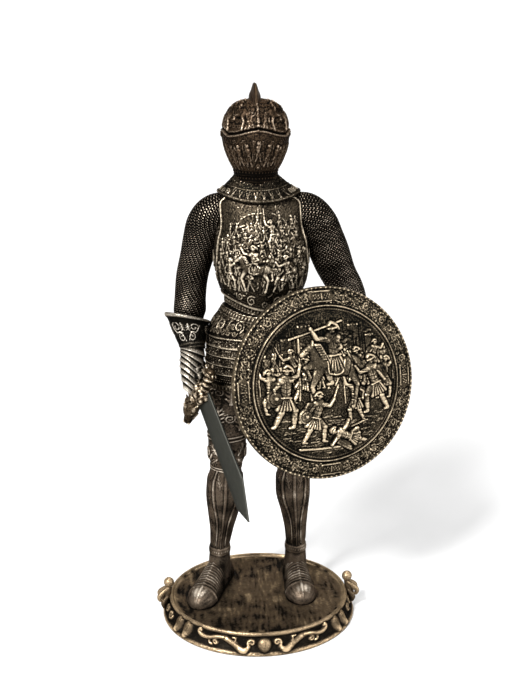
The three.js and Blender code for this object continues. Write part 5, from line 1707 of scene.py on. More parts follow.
@dataclass
class Leg:
    """One armoured leg: thigh plates, a winged knee, a ridged greave, an ankle band and a plated shoe."""

    name: str
    rows: list
    heel: Point
    toeward: Point
    radius: float = 11.0
    columns: int = 126
    rings: int = 236
    ends: Point = (6, 152)
    worn_and_painted_light: Place = (1.5, 0.5, 0.33)

    def paint(self) -> Canvas:
        """Carving by height: strapwork on the thigh, leaves at the knee, and long ribs down the greave."""
        half = np.pi * self.radius
        canvas = Canvas((-half, half), self.ends)
        canvas.roughen(0.04 + 0.12 * ease(108, 112, canvas.v), 0.5, 50)
        canvas.clutter((-half, half, 111, 150), 130, 3.2, 0.4, 51)
        for k in range(6):
            x = -half + (k + 0.5) * half / 3
            canvas.carve(leaf((x, 114), (x, 129), 3.0, 0.7, lobes=5), moat=0.4)
            canvas.carve(spiral((x + half / 6, 122), 2.7, 1.4, 0.5, hand_of(k), 0.5, 0.65), moat=0.35)
            canvas.carve(leaf((x + half / 6, 131), (x + half / 6, 147), 3.0, 0.7, lobes=5), moat=0.4)
            canvas.carve(spiral((x, 138), 2.7, 1.4, 2.5, hand_of(k), 0.5, 0.65), moat=0.35)
        for hand in (-1, 1):
            canvas.carve(spiral((hand * 15, 97), 4.6, 1.5, 0, hand, 0.7, 0.7), moat=0.3)
            canvas.carve(leaf((hand * 6, 97), (hand * 11, 104), 2.2, 0.6), moat=0.3)
            canvas.carve(leaf((hand * 6, 95), (hand * 12, 89.5), 2.2, 0.6), moat=0.3)
            canvas.carve(leaf((hand * 26, 90), (hand * 26, 105), 3.0, 0.6, lobes=4), moat=0.3)
            canvas.carve(leaf((hand * 3.4, 72), (hand * 5.6, 84), 1.7, 0.34, lobes=4), moat=0.15)
            canvas.carve(spiral((hand * 12, 79), 2.6, 1.2, 0.4, -hand, 0.34, 0.34), moat=0.15)
            canvas.carve(leaf((hand * 11.5, 62), (hand * 12, 74), 1.6, 0.3, lobes=4), moat=0.15)
            rib = [(hand * 5.0, 29), (hand * 4.7, 45), (hand * 7.2, 60), (hand * 8.2, 74), (hand * 7.0, 85)]
            canvas.carve(stroke(rib, [0.5, 0.7, 0.9, 0.9, 0.6], 0.6), moat=0.35, gap=1.2, shine=-0.08)
            outer = [(hand * 14, 30), (hand * 15, 48), (hand * 17.5, 64), (hand * 17, 80)]
            canvas.carve(stroke(outer, 0.6, 0.45), moat=0.25, gap=1.0)
            back = [(hand * 23, 30), (hand * 25, 50), (hand * 26, 70), (hand * 25, 85)]
            canvas.carve(stroke(back, 0.34, 0.4), moat=0.2, gap=0.8, shine=0.02)
        middle = [(0, 28), (0, 50), (0, 70), (0, 85)]
        canvas.carve(stroke(middle, [0.5, 0.7, 0.9, 0.7], 0.45), moat=0.15, gap=1.2, shine=-0.08)
        canvas.clutter((-half, half, 28, 86), 60, 4.0, 0.1, 53)
        for z in (109, 106.6, 87.4, 85.6, 26.2, 22.6):
            canvas.height += 0.6 * hump(canvas.v - z, 0.45)
            canvas.shine += 0.03 * hump(canvas.v - z, 0.45)
        band = ease(26, 25.6, canvas.v) * ease(22.6, 23, canvas.v)
        rivets = hump(saw(canvas.u, 2.3) * 2.3 - 1.15, 0.6) * hump(canvas.v - 24.4, 0.6)
        canvas.height = canvas.height * (1 - band) + band * (0.4 + 0.35 * rivets)
        canvas.shine += 0.05 * band * rivets
        return canvas

    def knee(self) -> Skin:
        """The round cap of the knee, fluted like a shell: a ball whose radius ripples by its angle."""
        row = Sections(self.rows).row(np.array(96.0))
        middle = np.array([row[0], row[1] - row[4] + 6.4, 96 + SOLE])
        turn = np.linspace(0.02, np.pi - 0.02, 40)[:, None]
        a = circle(56)[None, :]
        ripple = 0.35 * np.sin(turn) ** 2 * np.cos(a * 12)
        radius = 8.3 + ripple + 0.7 * hump(turn - 0.35, 0.16) + 0.8 * hump(turn - 0.02, 0.14)
        x = radius * np.sin(turn) * np.cos(a)
        z = radius * np.sin(turn) * np.sin(a) * 1.02
        y = -radius * np.cos(turn) * 0.98
        wear_and_painted_light = 0.3 + 0.5 * ripple + 0.24 * hump(turn - 0.35, 0.16) + 0.2 * ease(0.2, 0.05, turn) + 0 * a
        return np.stack([x, y + 0 * a, z], axis=-1) + middle, np.clip(wear_and_painted_light, 0, 1)

    def shoe(self) -> Skin:
        """The plated shoe: at a distance s from the heel its half width and height come off a table, and its arch is
        the sine to the power 0.8. Thirteen lames cross the instep, and the toe cap is grooved from its point."""
        table = [[0, 3.6, 7], [3.5, 6.4, 12], [13, 7.6, 16], [20, 8, 17.5], [30, 8.9, 14.2], [40, 9.8, 10.5]]
        table += [[46, 9.0, 9.2], [50, 6.4, 7.2], [52.2, 3.6, 4.8], [53, 1.2, 2.2]]
        fine = respaced(smooth(np.array(table, float), 8), 116, 3)
        s, wide, tall = (column[:, None] for column in fine.T)
        a = np.concatenate([np.linspace(0, np.pi, 76), np.linspace(np.pi, 2 * np.pi, 14)[1:-1]])[None, :]
        top = ease(0.0, 0.25, np.sin(a))
        through = saw(s - 15.4, 2.0)
        instep = ease(14.4, 15.4, s) * ease(41.2, 40.6, s)
        lame = instep * (0.7 * through**1.5 - 0.25)
        cap = ease(41, 42, s)
        grooves = cap * 0.04 * np.cos((a - np.pi / 2) * 20) * ease(53, 48, s)
        spine = hump(a - np.pi / 2, 0.08) * (0.45 * instep + 0.55 * cap)
        heel = (1 - ease(18, 19, s)) * 0.3 * hump(saw(s, 6) * 6 - 3, 0.5)
        lift = top * (lame + grooves + spine + heel + 0.5 * hump(s - 41.4, 0.7))
        facing = unit(np.array([*self.toeward, 0.0]))
        side = np.array([-facing[1], facing[0], 0.0])
        arch = np.clip(np.sin(a), 0, 1) ** 0.8
        spot = figure(self.heel[0], self.heel[1], 0.0)
        rise = np.where(arch > 0, (tall + lift) * arch, 0) - 0.22
        points = spot + facing * (s + 0 * a)[..., None] + side * ((wide + lift) * np.cos(a))[..., None]
        points = points + np.array([0, 0, 1.0]) * rise[..., None]
        # The top of the foot by the ankle and the middle of the toe cap carry painted highlights; the lames' edges are
        # brighter over the top.
        front = ease(0.3, 0.85, np.sin(a))
        wear_and_painted_light = 0.24 + 0.2 * hump(s - 12, 4) * front + instep * front * (0.42 * ease(0.3, 0.95, through) - 0.03)
        wear_and_painted_light = wear_and_painted_light + cap * (0.13 + 0.26 * hump(a - np.pi / 2, 0.7) * hump(s - 46, 4) + 1.2 * grooves)
        wear_and_painted_light = np.where(arch > 0.15, wear_and_painted_light + 0.25 * spine + 0.2 * hump(s - 41.4, 0.6), 0.1)
        return points, np.clip(wear_and_painted_light, 0, 1)

    def build(self) -> Casting:
        """The leg as one piece."""
        u, v = around(self.radius, self.columns, np.linspace(*self.ends, self.rings)[:, None])
        bare = Sections(self.rows, keel=0.8).points(angle_of(u, self.radius), v)
        piece = Casting(self.name)
        for skin in (self.paint().dress(bare, u, v, self.worn_and_painted_light), self.knee(), self.shoe()):
            piece.add(*skin)
        return piece


@dataclass
class Shield:
    """The round shield: a battle before a walled town, inside a roped ring and a border of close scrolls."""

    sizes: ShieldSizes
    columns: int = 512
    front_rings: int = 134
    back_rings: int = 20

    def scene(self, canvas: Canvas) -> None:
        """The field: a town wall and towers far off, ranks of heads and spears, and large men before them."""
        dice = np.random.default_rng(77)
        for x in np.arange(-38, 39, 1.7):
            top = min(38.0, float(np.sqrt(41**2 - x**2)))
            foot = (x, dice.uniform(12, 20))
            canvas.line([foot, (x + dice.uniform(-0.5, 0.5), dice.uniform(0.75, 0.98) * top)], 0.26, 0.3)
        for x, y, wide, tall in ((-13, 18, 4.4, 13), (-24, 16, 3.2, 9), (17, 19, 3.6, 11), (27, 15, 2.8, 9)):
            walls = [stroke([(x, y), (x, y + tall)], wide, 0.7, curved=False)]
            merlons = [ball((x + k * wide * 0.62, y + tall + wide * 0.62), 0.8, 1.0) for k in (-1.2, -0.4, 0.4, 1.2)]
            canvas.carve(walls + merlons, moat=0.35)
            for k in range(4):
                canvas.line([(x - wide * 0.7, y + 3 * k + 1), (x + wide * 0.7, y + 3 * k + 1)], 0.25, 1.0)
        for floor, size, pitch, reach in ((7, 12, 4.4, 35), (-2, 15, 5.6, 38)):
            for x in np.arange(-reach, reach + 1, pitch):
                limit = np.sqrt(max(0.0, 41**2 - max(abs(floor), floor + size * 0.8) ** 2))
                if abs(x) > limit - 2:
                    continue
                stance = Stance(
                    lean=dice.uniform(-0.2, 0.3),
                    stride=dice.uniform(0.2, 0.5),
                    lift=dice.uniform(-0.2, 1.1),
                    weapon=[Weapon.SPEAR, Weapon.BANNER, Weapon.NONE, Weapon.SPEAR][dice.integers(4)],
                    shield=bool(dice.random() < 0.3),
                )
                spot = (x + dice.uniform(-1, 1), floor + dice.uniform(-1.5, 1.5))
                canvas.carve(soldier(spot, size, 1 if dice.random() < 0.5 else -1, stance), moat=0.55, gap=0.7)
        behind = [
            ((-35, -14), 25, -1, SPEARMAN),
            ((-15, -9), 27, -1, SWORDSMAN),
            ((15, -24), 27, -1, SPEARMAN),
            ((36, -12), 24, 1, SPEARMAN),
            ((19, -6), 26, 1, SWORDSMAN),
            ((-21, 2), 20, 1, SWORDSMAN),
            ((29, 4), 19, -1, SWORDSMAN),
        ]
        for at, size, flip, pose in behind:
            canvas.carve(warrior(at, size, flip, pose), moat=0.7, gap=0.8, shine=0.05)
        for k in range(200):
            x, y = dice.uniform(-38, 38), dice.uniform(-41.5, -18)
            if np.hypot(x, y) < 40.5:
                length = dice.uniform(1.6, 5.5)
                path = [(x, y), (x + length / 2, y + dice.uniform(-0.5, 0.7)), (x + length, y)]
                canvas.carve(stroke(path, dice.uniform(0.25, 0.5), 0.45), moat=0.3, gap=0.4)
        ground = [(x, -37 + 0.06 * abs(x)) for x in (-19, -7, 7, 19)]
        canvas.carve(stroke(ground, 0.8, 0.9), moat=0.4)
        men = [
            ((-26, -23), 35, 1, SPEARMAN, True),
            ((3, -14), 41, 1, RIDER, False),
            ((28, -19), 34, 1, SWORDSMAN, False),
            ((-9, -33), 30, -1, SWORDSMAN, True),
            ((11, -36), 26, 1, FALLEN, False),
        ]
        # The large men's shine is a painted highlight in the middle of each form, fading to its edges.
        for at, size, flip, pose, target in men:
            canvas.carve(warrior(at, size, flip, pose, target), level=0.3, moat=0.8, gap=0.9, shine=0.16)

    def paint(self) -> Canvas:
        """The field, its ring, the border with four tablets, and the beaded edge."""
        sizes = self.sizes
        ring = sizes.radius - sizes.border
        reach = sizes.radius + 1
        canvas = Canvas((-reach, reach), (-reach, reach), wraps=False)
        radius = np.hypot(canvas.u, canvas.v)
        turn = np.arctan2(canvas.v, canvas.u)
        canvas.roughen(0.3 * ease(ring - 1, ring - 3, radius), 0.42, 78)
        self.scene(canvas)
        canvas.roughen(0.2 * (radius < ring), 0.4, 79)
        canvas.shine -= 0.1 * ease(10, 24, canvas.v) * (radius < ring)
        inside = ease(ring - 2.4, ring - 3.2, radius)
        canvas.height *= inside
        canvas.shine *= inside
        outside = ease(ring + 1.0, ring + 1.5, radius) * ease(sizes.radius - 1.5, sizes.radius - 2.0, radius)
        canvas.roughen(0.9 * outside, 0.4, 80)
        canvas.roughen(0.5 * outside, 0.7, 81)
        border = sizes.radius - sizes.border / 2 - 0.3
        for k in range(48):
            at = turned(np.zeros(2), border, 2 * np.pi * (k + 0.5) / 48)
            hand = hand_of(k)
            start = 2 * np.pi * (k + 0.5) / 48 + (0 if k % 2 else np.pi)
            canvas.carve(spiral(tuple(at), 2.5, 1.2, start, hand, 0.28, 0.3), moat=0.2, gap=0.3)
        for k in range(4):
            middle = turned(np.zeros(2), border, k * np.pi / 2)
            side = turned(np.zeros(2), 4.6, (k + 1) * np.pi / 2)
            canvas.carve([Stroke(np.array([middle - side, middle + side]), np.array([3.0, 3.0]), 0.55)], moat=0.5)
            for step in np.linspace(-1, 1, 7):
                spot = middle + side * step
                tall = turned(np.zeros(2), 1.5, k * np.pi / 2 + 0.5 * np.sign(step))
                ends = [tuple(spot - tall), tuple(spot + tall)]
                canvas.carve(stroke(ends, 0.34, 1.0), moat=0.15, gap=0.25)
            for off in (-2.9, 2.9):
                shift = turned(np.zeros(2), off, k * np.pi / 2)
                frame = np.array([middle - side * 1.3, middle + side * 1.3]) + shift
                canvas.carve([Stroke(frame, np.array([0.28, 0.28]), 0.9)], moat=0.1, gap=0.2)
        rope = 0.75 + 0.25 * np.sin(turn * ring * 2 * np.pi / 1.5 + 1.6 * (radius - ring))
        canvas.height += 1.0 * hump(radius - ring, 0.5) + 0.65 * hump(radius - ring + 1.8, 0.5) * rope
        canvas.height -= 0.4 * hump(radius - ring + 0.95, 0.45) + 0.3 * hump(radius - ring - 1.0, 0.45)
        canvas.shine -= 0.34 * hump(radius - ring, 0.7) + 0.24 * hump(radius - ring + 1.8, 0.5)
        rim = sizes.radius - 0.75
        pins = hump(saw(turn * rim, 2.9) * 2.9 - 1.45, 0.5) * hump(radius - rim + 0.3, 0.6)
        canvas.height += 0.7 * hump(radius - rim, 0.62) + 0.4 * pins
        canvas.shine += 0.14 * pins - 0.24 * hump(radius - rim, 0.6)
        return canvas

    def build(self) -> Casting:
        """The shield as one piece: rings from the middle of the face, over the edge, to the middle of the back."""
        sizes = self.sizes
        canvas = self.paint()
        radius = sizes.radius
        face = np.linspace(0.15, radius - 0.4, self.front_rings)
        edge = np.array([radius - 0.22, radius - 0.2, radius - 0.22])
        back = np.linspace(radius - 0.4, 0.3, self.back_rings)
        reach = np.concatenate([face, edge, back])[:, None]
        half = sizes.wall / 2
        stops = np.concatenate([np.full(len(face), half), [half - 0.25, 0, -half + 0.25], np.full(len(back), -half)])
        a = circle(self.columns)[None, :]
        x, z = reach * np.cos(a), reach * np.sin(a)
        front = (np.arange(len(reach)) < len(face))[:, None]
        heights = np.where(front, np.clip(canvas.sample(canvas.height, x, z), -0.9, 2.4), 0.0)
        worn_and_painted_light = canvas.sample(canvas.wear_and_painted_light(1.3, 0.6, 0.27), x, z)
        swirl = 0.15 * np.sin(reach * 0.9) * (~front)
        y = sizes.behind(reach) - stops[:, None] - heights + swirl
        wear_and_painted_light = np.where(front, worn_and_painted_light, 0.34 + 0.6 * swirl)
        wear_and_painted_light = np.where((stops[:, None] < half) & (stops[:, None] > -half), 0.5, wear_and_painted_light)
        piece = Casting("round_shield")
        piece.add(np.stack([x, y + 0 * a, z], axis=-1), wear_and_painted_light)
        outline = [(-1, -1.5), (-0.86, 5), (-0.6, 8.5), (0, 8.5), (0.6, 8.5), (0.86, 5), (1, -1.5)]
        rows = []
        for share, rise in outline:
            across = share * sizes.handle_span / 2
            scaled = rise * sizes.handle_rise / 8.5 if rise > 0 else rise
            rows.append([across, sizes.behind(np.array(abs(across))) + half + scaled, 0, sizes.handle_radius - 0.05])
        body = respaced(smooth(np.array(rows, float), 8), 70)
        piece.add(tube(body[:, :3], body[:, 3], 18), 0.35)
        return piece


@dataclass
class Plinth:
    """The oval plinth: a hollowed side with scrolls, leaves and an egg, a bright ring, and an engraved floor."""

    half_width: float = 56.9
    half_depth: float = 51.2
    height: float = 13.3
    flare: float = 4.6
    sink: float = 1.6
    ring: float = 3.4
    ball: float = 3.4
    columns: int = 500

    def profile(self) -> Array:
        """The section from the edge of the underside to the floor: offset from the ring's oval, and height."""
        foot = [[self.flare - 1.9, 0], [self.flare - 1.1, 0], [self.flare - 0.5, 0.3], [self.flare - 0.25, 1.1]]
        wall = [[self.flare - 0.25, 1.8], [self.flare - 0.9, 2.5], [3.0, 3.2], [1.7, 4.4], [0.9, 5.9], [0.1, 8.0]]
        rolled = [[-0.6, 10.1], [-0.5, 10.6], [0, 11.0], [0.1, 11.9], [-0.2, 12.7], [-0.8, 13.2], [-1.4, 13.2]]
        inner = [[-1.9, 12.8], [-2.2, 12.2], [-2.5, 11.9], [-self.ring - 0.1, self.height - self.sink]]
        return np.array([*foot, *wall, *rolled, *inner], float)

    def scrolls(self, canvas: Canvas, middle: float, plain: bool) -> None:
        """Carves tendrils either side of an egg, with curled ends and leaves beyond them, all mirrored.

        Args:
            canvas: The side of the plinth, arc by height.
            middle: The arc of the egg.
            plain: Whether only the first tendril is carved, as behind.
        """
        canvas.carve(ball((middle, 6.5), 4.0, 2.8), moat=0.5, gap=0.8, shine=0.15)
        for hand in (-1, 1):
            def at(arc: float, z: float) -> Point:
                """A place either side of the egg."""
                return (middle + hand * arc, z)

            stem = [at(8.8, 7.0), at(8.6, 4.8), at(10.6, 3.3), at(13.5, 4.4), at(17, 6.4), at(21.5, 8.6), at(25.4, 8.5)]
            forms = [
                stroke([*stem, at(27.6, 6.4)], [1.0, 1.3, 1.5, 1.8, 1.9, 1.8, 1.5, 1.2], 1.9),
                spiral(at(6.9, 7.3), 1.9, 1.0, 0 if hand > 0 else np.pi, hand, 0.9, 1.7),
                spiral(at(26.3, 5.6), 1.5, 0.9, 0.6 if hand > 0 else np.pi - 0.6, -hand, 0.8, 1.6),
                stroke([at(13.2, 4.6), at(15.4, 7.2), at(15.6, 9.3), at(17.3, 9.6)], [0.9, 0.8, 0.7, 0.6], 1.5),
            ]
            canvas.carve(forms, moat=0.4, gap=0.8, shine=0.12)
            if not plain:
                tail = [at(22.5, 9.0), at(26.5, 8.6), at(30.5, 7.2), at(34.5, 7.0), at(37.4, 8.2), at(38, 10)]
                forms = [
                    stroke(tail, [1.0, 1.2, 1.4, 1.5, 1.4, 1.0], 1.7),
                    spiral(at(36.8, 9.9), 1.3, 0.9, 0 if hand > 0 else np.pi, hand, 0.75, 1.5),
                    stroke([at(30.5, 7.0), at(30.2, 4.6), at(28.6, 3.9)], [0.8, 0.8, 0.6], 1.4),
                ]
                canvas.carve(forms, moat=0.4, gap=0.8, shine=0.12)
            for arc, lean in ((46.5, 1.2), (54.5, 1.4)):
                blade = [at(arc - lean, 10.2), at(arc - 0.2, 8.2), at(arc + 0.3, 5.6), at(arc + lean, 2.9)]
                rib = stroke([blade[0], blade[3]], 0.16, -0.35)
                canvas.carve([stroke(blade, [1.0, 3.4, 3.5, 0.8], 1.7), rib], moat=0.4, gap=0.7, shine=0.26)

    def side(self) -> Canvas:
        """The carving of the side, by arc and height."""
        half = np.pi * self.half_depth
        canvas = Canvas((-half, half), (0, 14))
        canvas.roughen(0.16 * ease(10.8, 10.2, canvas.v), 0.4, 3)
        self.scrolls(canvas, 0.0, plain=False)
        self.scrolls(canvas, half, plain=True)
        for hand in (-1, 1):
            for k in range(3):
                x = hand * (66 + 9 * k)
                canvas.carve(spiral((x, 6.6), 2.6, 1.3, 0.5 * k, hand, 0.8, 1.3), moat=0.35, shine=0.08)
        canvas.roughen(0.26 * ease(2.6, 2.0, canvas.v), 0.5, 4)
        bare = ease(2.4, 3.2, canvas.v) * ease(10.9, 10.4, canvas.v)
        # The foot of the side gets a painted highlight, a band of glints all round; the bare hollow is duller and the
        # top ring brighter.
        canvas.shine += 0.42 * hump(canvas.v - 1.4, 1.3) - 0.14 * bare + 0.33 * ease(11.2, 11.9, canvas.v)
        return canvas

    def floor(self) -> Canvas:
        """The floor: soft brushed upright and level patches, and a low winding grain."""
        canvas = Canvas((-56, 56), (-52, 52), wraps=False, step=0.25)
        dice = np.random.default_rng(13)
        streaks = np.zeros_like(canvas.height)
        for weight, wide, tall in ((1.0, 56.0, 1.2), (0.9, 1.2, 30.0), (0.5, 20.0, 3.0)):
            grain = dice.normal(size=canvas.height.shape)
            soft = blurred(grain, wide / 3, False) if wide > tall else blurred(grain, wide, False)
            steps = int(max(wide, tall))
            level = np.cumsum(soft, axis=1 if wide > tall else 0)
            drift = level - np.roll(level, steps, axis=1 if wide > tall else 0)
            streaks += weight * drift / drift.std()
        canvas.height += 0.03 * blurred(streaks, 1.2, False)
        canvas.roughen(0.05, 0.5, 14)
        canvas.shine += 0.13 * blurred(streaks, 1.6, False) + 0.02
        return canvas

    def bracket(self, piece: Casting, side: int) -> None:
        """Adds an end bracket: a ball on a stem between two leaves that curl over the edge.

        Args:
            piece: What it is added to.
            side: 1 at the +X end, and -1 at the other.
        """

        def spot(out: float, y: float, z: float, radius: float) -> Array:
            """A point with a radius, out from the oval's end and up from the ring."""
            return np.array([side * (self.half_width + out), y, self.height + z, radius])

        knob = self.ball - 0.1
        piece.add(limb([spot(0.4, 0, 7.9, knob), spot(0.45, 0, 7.95, knob)], 28, 4), 0.66)
        rows = [spot(0.4, 0, 6.4, 1.6), spot(0.8, 0, 3, 2.1), spot(2.0, 0, -0.4, 2.4), spot(3.0, 0, -5, 2.0)]
        piece.add(limb([*rows, spot(3.5, 0, -8.6, 1.4)], 18, 44), 0.42)
        for hand in (-1, 1):
            rows = [spot(0.6, 0.7 * hand, 4.4, 1.2), spot(3.6, 2.0 * hand, 2.4, 1.6), spot(6.4, 3.0 * hand, -0.4, 1.7)]
            rows += [spot(6.2, 3.2 * hand, -2.8, 1.3), spot(4.6, 2.9 * hand, -3.4, 0.8)]
            piece.add(limb(rows, 16, 40), 0.62)
            rows = [spot(1.6, 2.2 * hand, -1.4, 1.2), spot(4.2, 3.0 * hand, -5, 1.6), spot(4, 2.6 * hand, -8.4, 0.9)]
            piece.add(limb(rows, 14, 28), 0.42)

    def build(self) -> Casting:
        """The plinth as one piece."""
        outline = np.vstack([[-30, 0], respaced(smooth(self.profile(), 6), 66, 2)])
        outline[:, 1] = np.maximum(outline[:, 1], 0)
        inner = self.half_width - self.ring - 0.1
        shares = np.linspace(1, 0.02, 46)[1:]
        a = (circle(self.columns) - np.pi)[None, :]
        offset, z = outline[:, :1], outline[:, 1:]
        x = (self.half_width + offset) * np.sin(a)
        y = -(self.half_depth + offset) * np.cos(a)
        wall = np.stack([x, y, z + 0 * a], axis=-1)
        canvas, floor = self.side(), self.floor()
        arc = np.broadcast_to(a * self.half_depth, x.shape)
        level = np.broadcast_to(z, x.shape)
        outer = ease(0.5, 1.6, z) * ((offset > -1.2) | (z > 2)) * ease(11.6, 10.8, z) + 0 * a
        lift = canvas.sample(canvas.height, arc, level) * outer
        worn_and_painted_light = canvas.sample(canvas.wear_and_painted_light(1.8, 0.36, 0.31), arc, level)
        flat = shares[:, None] + 0 * a
        fx, fy = inner * flat * np.sin(a), -(self.half_depth - self.ring - 0.1) * flat * np.cos(a)
        sunk = np.full(fx.shape, self.height - self.sink)
        points = np.concatenate([wall, np.stack([fx, fy, sunk], axis=-1)])
        etched = floor.sample(floor.height, fx, fy)
        heights = np.concatenate([lift, np.clip(etched, -0.3, 0.25)])
        wear_and_painted_light = np.concatenate([worn_and_painted_light, np.clip(floor.sample(floor.wear_and_painted_light(2.0, 1.0, 0.36), fx, fy), 0, 0.62)])
        piece = Casting("oval_plinth")
        piece.add(raised(points, heights), wear_and_painted_light)
        self.bracket(piece, -1)
        self.bracket(piece, 1)
        return piece


# Finishes


def wire(tree: Tree, node: Node, inputs: dict[str | int, object]) -> None:
    """Fills a node's inputs.

    Args:
        tree: The tree that holds it.
        node: The node.
        inputs: By name or place, a socket to link to or a plain value.
    """
    for name, item in inputs.items():
        if isinstance(item, Socket):
            tree.links.new(item, node.inputs[name])
        else:
            node.inputs[name].default_value = item


def add_node(tree: Tree, kind: str, inputs: dict[str | int, object], out: str | int = 0, **traits: object) -> Socket:
    """Adds a shader node.

    Args:
        tree: What it is added to.
        kind: Its type, after ShaderNode.
        inputs: As for wire.
        out: The output to give back.
        traits: Its own settings.

    Returns:
        The output.
    """
    made = tree.nodes.new("ShaderNode" + kind)
    for name, value in traits.items():
        setattr(made, name, value)
    wire(tree, made, inputs)
    return made.outputs[out]


def new_material(name: str) -> tuple[bpy.types.Material, Tree, Node]:
    """A new material, with its tree and its shader."""
    made = bpy.data.materials.new(name)
    made.use_nodes = True
    return made, made.node_tree, made.node_tree.nodes["Principled BSDF"]


def patina_group() -> Tree:
    """The rubbed patina that every bronze finish uses.

    The rubbing with its painted highlights and shade, moved by fine and broad noise and by a lace of thin winding
    lines, picks the ground, body or rubbed colour and gives roughness and metal. The lace is (1 - min(|4n - 2|, 1))^2.2
    of a noise n. The grain is for the bump.

    Returns:
        The node group.
    """
    group = bpy.data.node_groups.new("rubbed_patina", "ShaderNodeTree")
    colour, number = "NodeSocketColor", "NodeSocketFloat"
    usual = {"Wear_and_painted_light": 0.4, "Ground": (0.01, 0.009, 0.008, 1), "Body": (0.07, 0.045, 0.03, 1)}
    usual |= {"Rubbed": (0.6, 0.45, 0.28, 1), "Blotch": 0.2, "Lace": 0.2}
    for name, value in usual.items():
        kind = colour if isinstance(value, tuple) else number
        group.interface.new_socket(name=name, in_out="INPUT", socket_type=kind).default_value = value
    for name, kind in (("Colour", colour), ("Roughness", number), ("Metal", number), ("Grain", number)):
        group.interface.new_socket(name=name, in_out="OUTPUT", socket_type=kind)
    given, sink = group.nodes.new("NodeGroupInput").outputs, group.nodes.new("NodeGroupOutput")
    place = add_node(group, "TexCoord", {}, "Object")

    def noise(scale: float, detail: float) -> Socket:
        """A noise on the piece's own coordinates."""
        return add_node(group, "TexNoise", {"Scale": scale, "Detail": detail, "Vector": place}, "Fac")

    def maths(kind: str, *terms: Socket | float) -> Socket:
        """A sum of one kind, of its terms in order."""
        return add_node(group, "Math", dict(enumerate(terms)), operation=kind)

    def ramp(value: Socket, low: float, high: float, bottom: float = 0, top: float = 1) -> Socket:
        """A smooth step of a value from low to high, as bottom to top."""
        ends = {"Value": value, "From Min": low, "From Max": high, "To Min": bottom, "To Max": top}
        return add_node(group, "MapRange", ends, interpolation_type="SMOOTHSTEP")

    def blend(mask: Socket, first: Socket, second: Socket) -> Socket:
        """One colour over another by a mask."""
        return add_node(group, "Mix", {"Factor": mask, 6: first, 7: second}, 2, data_type="RGBA")

    fine, broad, speck = noise(1500.0, 3.0), noise(110.0, 4.0), noise(3600.0, 2.0)
    veins = maths("ABSOLUTE", maths("MULTIPLY_ADD", noise(820.0, 2.0), 4.0, -2.0))
    lace = maths("POWER", maths("SUBTRACT", 1.0, maths("MINIMUM", veins, 1.0)), 2.2)
    shift = maths("MULTIPLY_ADD", fine, 0.3, -0.15)
    drift = maths("MULTIPLY", maths("SUBTRACT", broad, 0.5), given["Blotch"])
    thread = maths("MULTIPLY", maths("SUBTRACT", lace, 0.35), given["Lace"])
    worn_and_painted_light = maths("ADD", maths("ADD", given["Wear_and_painted_light"], shift), maths("ADD", drift, thread))
    base = blend(ramp(worn_and_painted_light, 0.16, 0.5), given["Ground"], given["Body"])
    outputs = {"Colour": blend(ramp(worn_and_painted_light, 0.5, 0.9), base, given["Rubbed"])}
    outputs["Roughness"] = ramp(maths("MULTIPLY_ADD", speck, 0.25, worn_and_painted_light), 0.2, 1.0, 0.52, 0.33)
    outputs["Metal"] = ramp(worn_and_painted_light, 0.1, 0.8, 0.85, 0.78)
    outputs["Grain"] = maths("ADD", maths("ADD", speck, fine), lace)
    wire(group, sink, outputs)
    return group


@dataclass(frozen=True)
class Bronze:
    """An antique bronze: the colour in the hollows, of the body and of the rubbed edges, which painted highlights take
    as well.
    """

    name: str
    ground: Place
    body: Place
    rubbed: Place
    blotch: float = 0.3
    lace: float = 0.2
    bump: float = 0.3

    def material(self, group: Tree) -> bpy.types.Material:
        """The finish as a material that reads each vertex's rubbing and painted light.

        Args:
            group: The rubbed patina.

        Returns:
            The material.
        """
        made, tree, shader = new_material(self.name)
        patina = tree.nodes.new("ShaderNodeGroup")
        patina.node_tree = group
        look = {"Wear_and_painted_light": add_node(tree, "Attribute", {}, "Fac", attribute_name="wear_and_painted_light")}
        look |= {"Ground": (*self.ground, 1), "Body": (*self.body, 1), "Rubbed": (*self.rubbed, 1)}
        wire(tree, patina, look | {"Blotch": self.blotch, "Lace": self.lace})
        given = patina.outputs
        bump = add_node(tree, "Bump", {"Strength": self.bump, "Distance": 0.0002, "Height": given["Grain"]})
        wire(tree, shader, {"Specular IOR Level": 0.08, "Specular Tint": (0.35, 0.32, 0.28, 1), "Normal": bump})
        wire(tree, shader, {"Base Color": given["Colour"], "Roughness": given["Roughness"], "Metallic": given["Metal"]})
        return made


@dataclass(frozen=True)
class Steel:
    """The blade's dull grey steel, with faint grinding lines along it and slightly brighter edges."""

    name: str = "blade_grey"
    flat: Place = (0.024, 0.024, 0.02)
    edge: Place = (0.06, 0.06, 0.052)
    roughness: float = 0.42

    def material(self) -> bpy.types.Material:
        """The finish as a material that reads the blade's wear.

        Returns:
            The material.
        """
        made, tree, shader = new_material(self.name)
        wear_and_painted_light = add_node(tree, "Attribute", {}, "Fac", attribute_name="wear_and_painted_light")
        place = add_node(tree, "TexCoord", {}, "Object")
        lay = {"Vector": place, "Scale": (1.0, 1.0, 0.08), "Rotation": (0.55, 0.3, 0.0)}
        lines = {"Vector": add_node(tree, "Mapping", lay), "Scale": 1400.0, "Detail": 3.0}
        cloud = add_node(tree, "TexNoise", {"Vector": place, "Scale": 60.0}, "Fac")
        share = add_node(tree, "MapRange", {"Value": wear_and_painted_light, "From Min": 0.5, "To Max": 0.7})
        mix = {"Factor": share, 6: (*self.flat, 1), 7: (*self.edge, 1)}
        dull = {"Value": cloud, "To Min": self.roughness - 0.08, "To Max": self.roughness + 0.1}
        ground = {"Height": add_node(tree, "TexNoise", lines, "Fac"), "Strength": 0.1, "Distance": 0.0001}
        look = {"Base Color": add_node(tree, "Mix", mix, 2, data_type="RGBA"), "Metallic": 0.8}
        look |= {"Roughness": add_node(tree, "MapRange", dull), "Normal": add_node(tree, "Bump", ground)}
        wire(tree, shader, look | {"Specular Tint": (0.4, 0.4, 0.38, 1)})
        return made


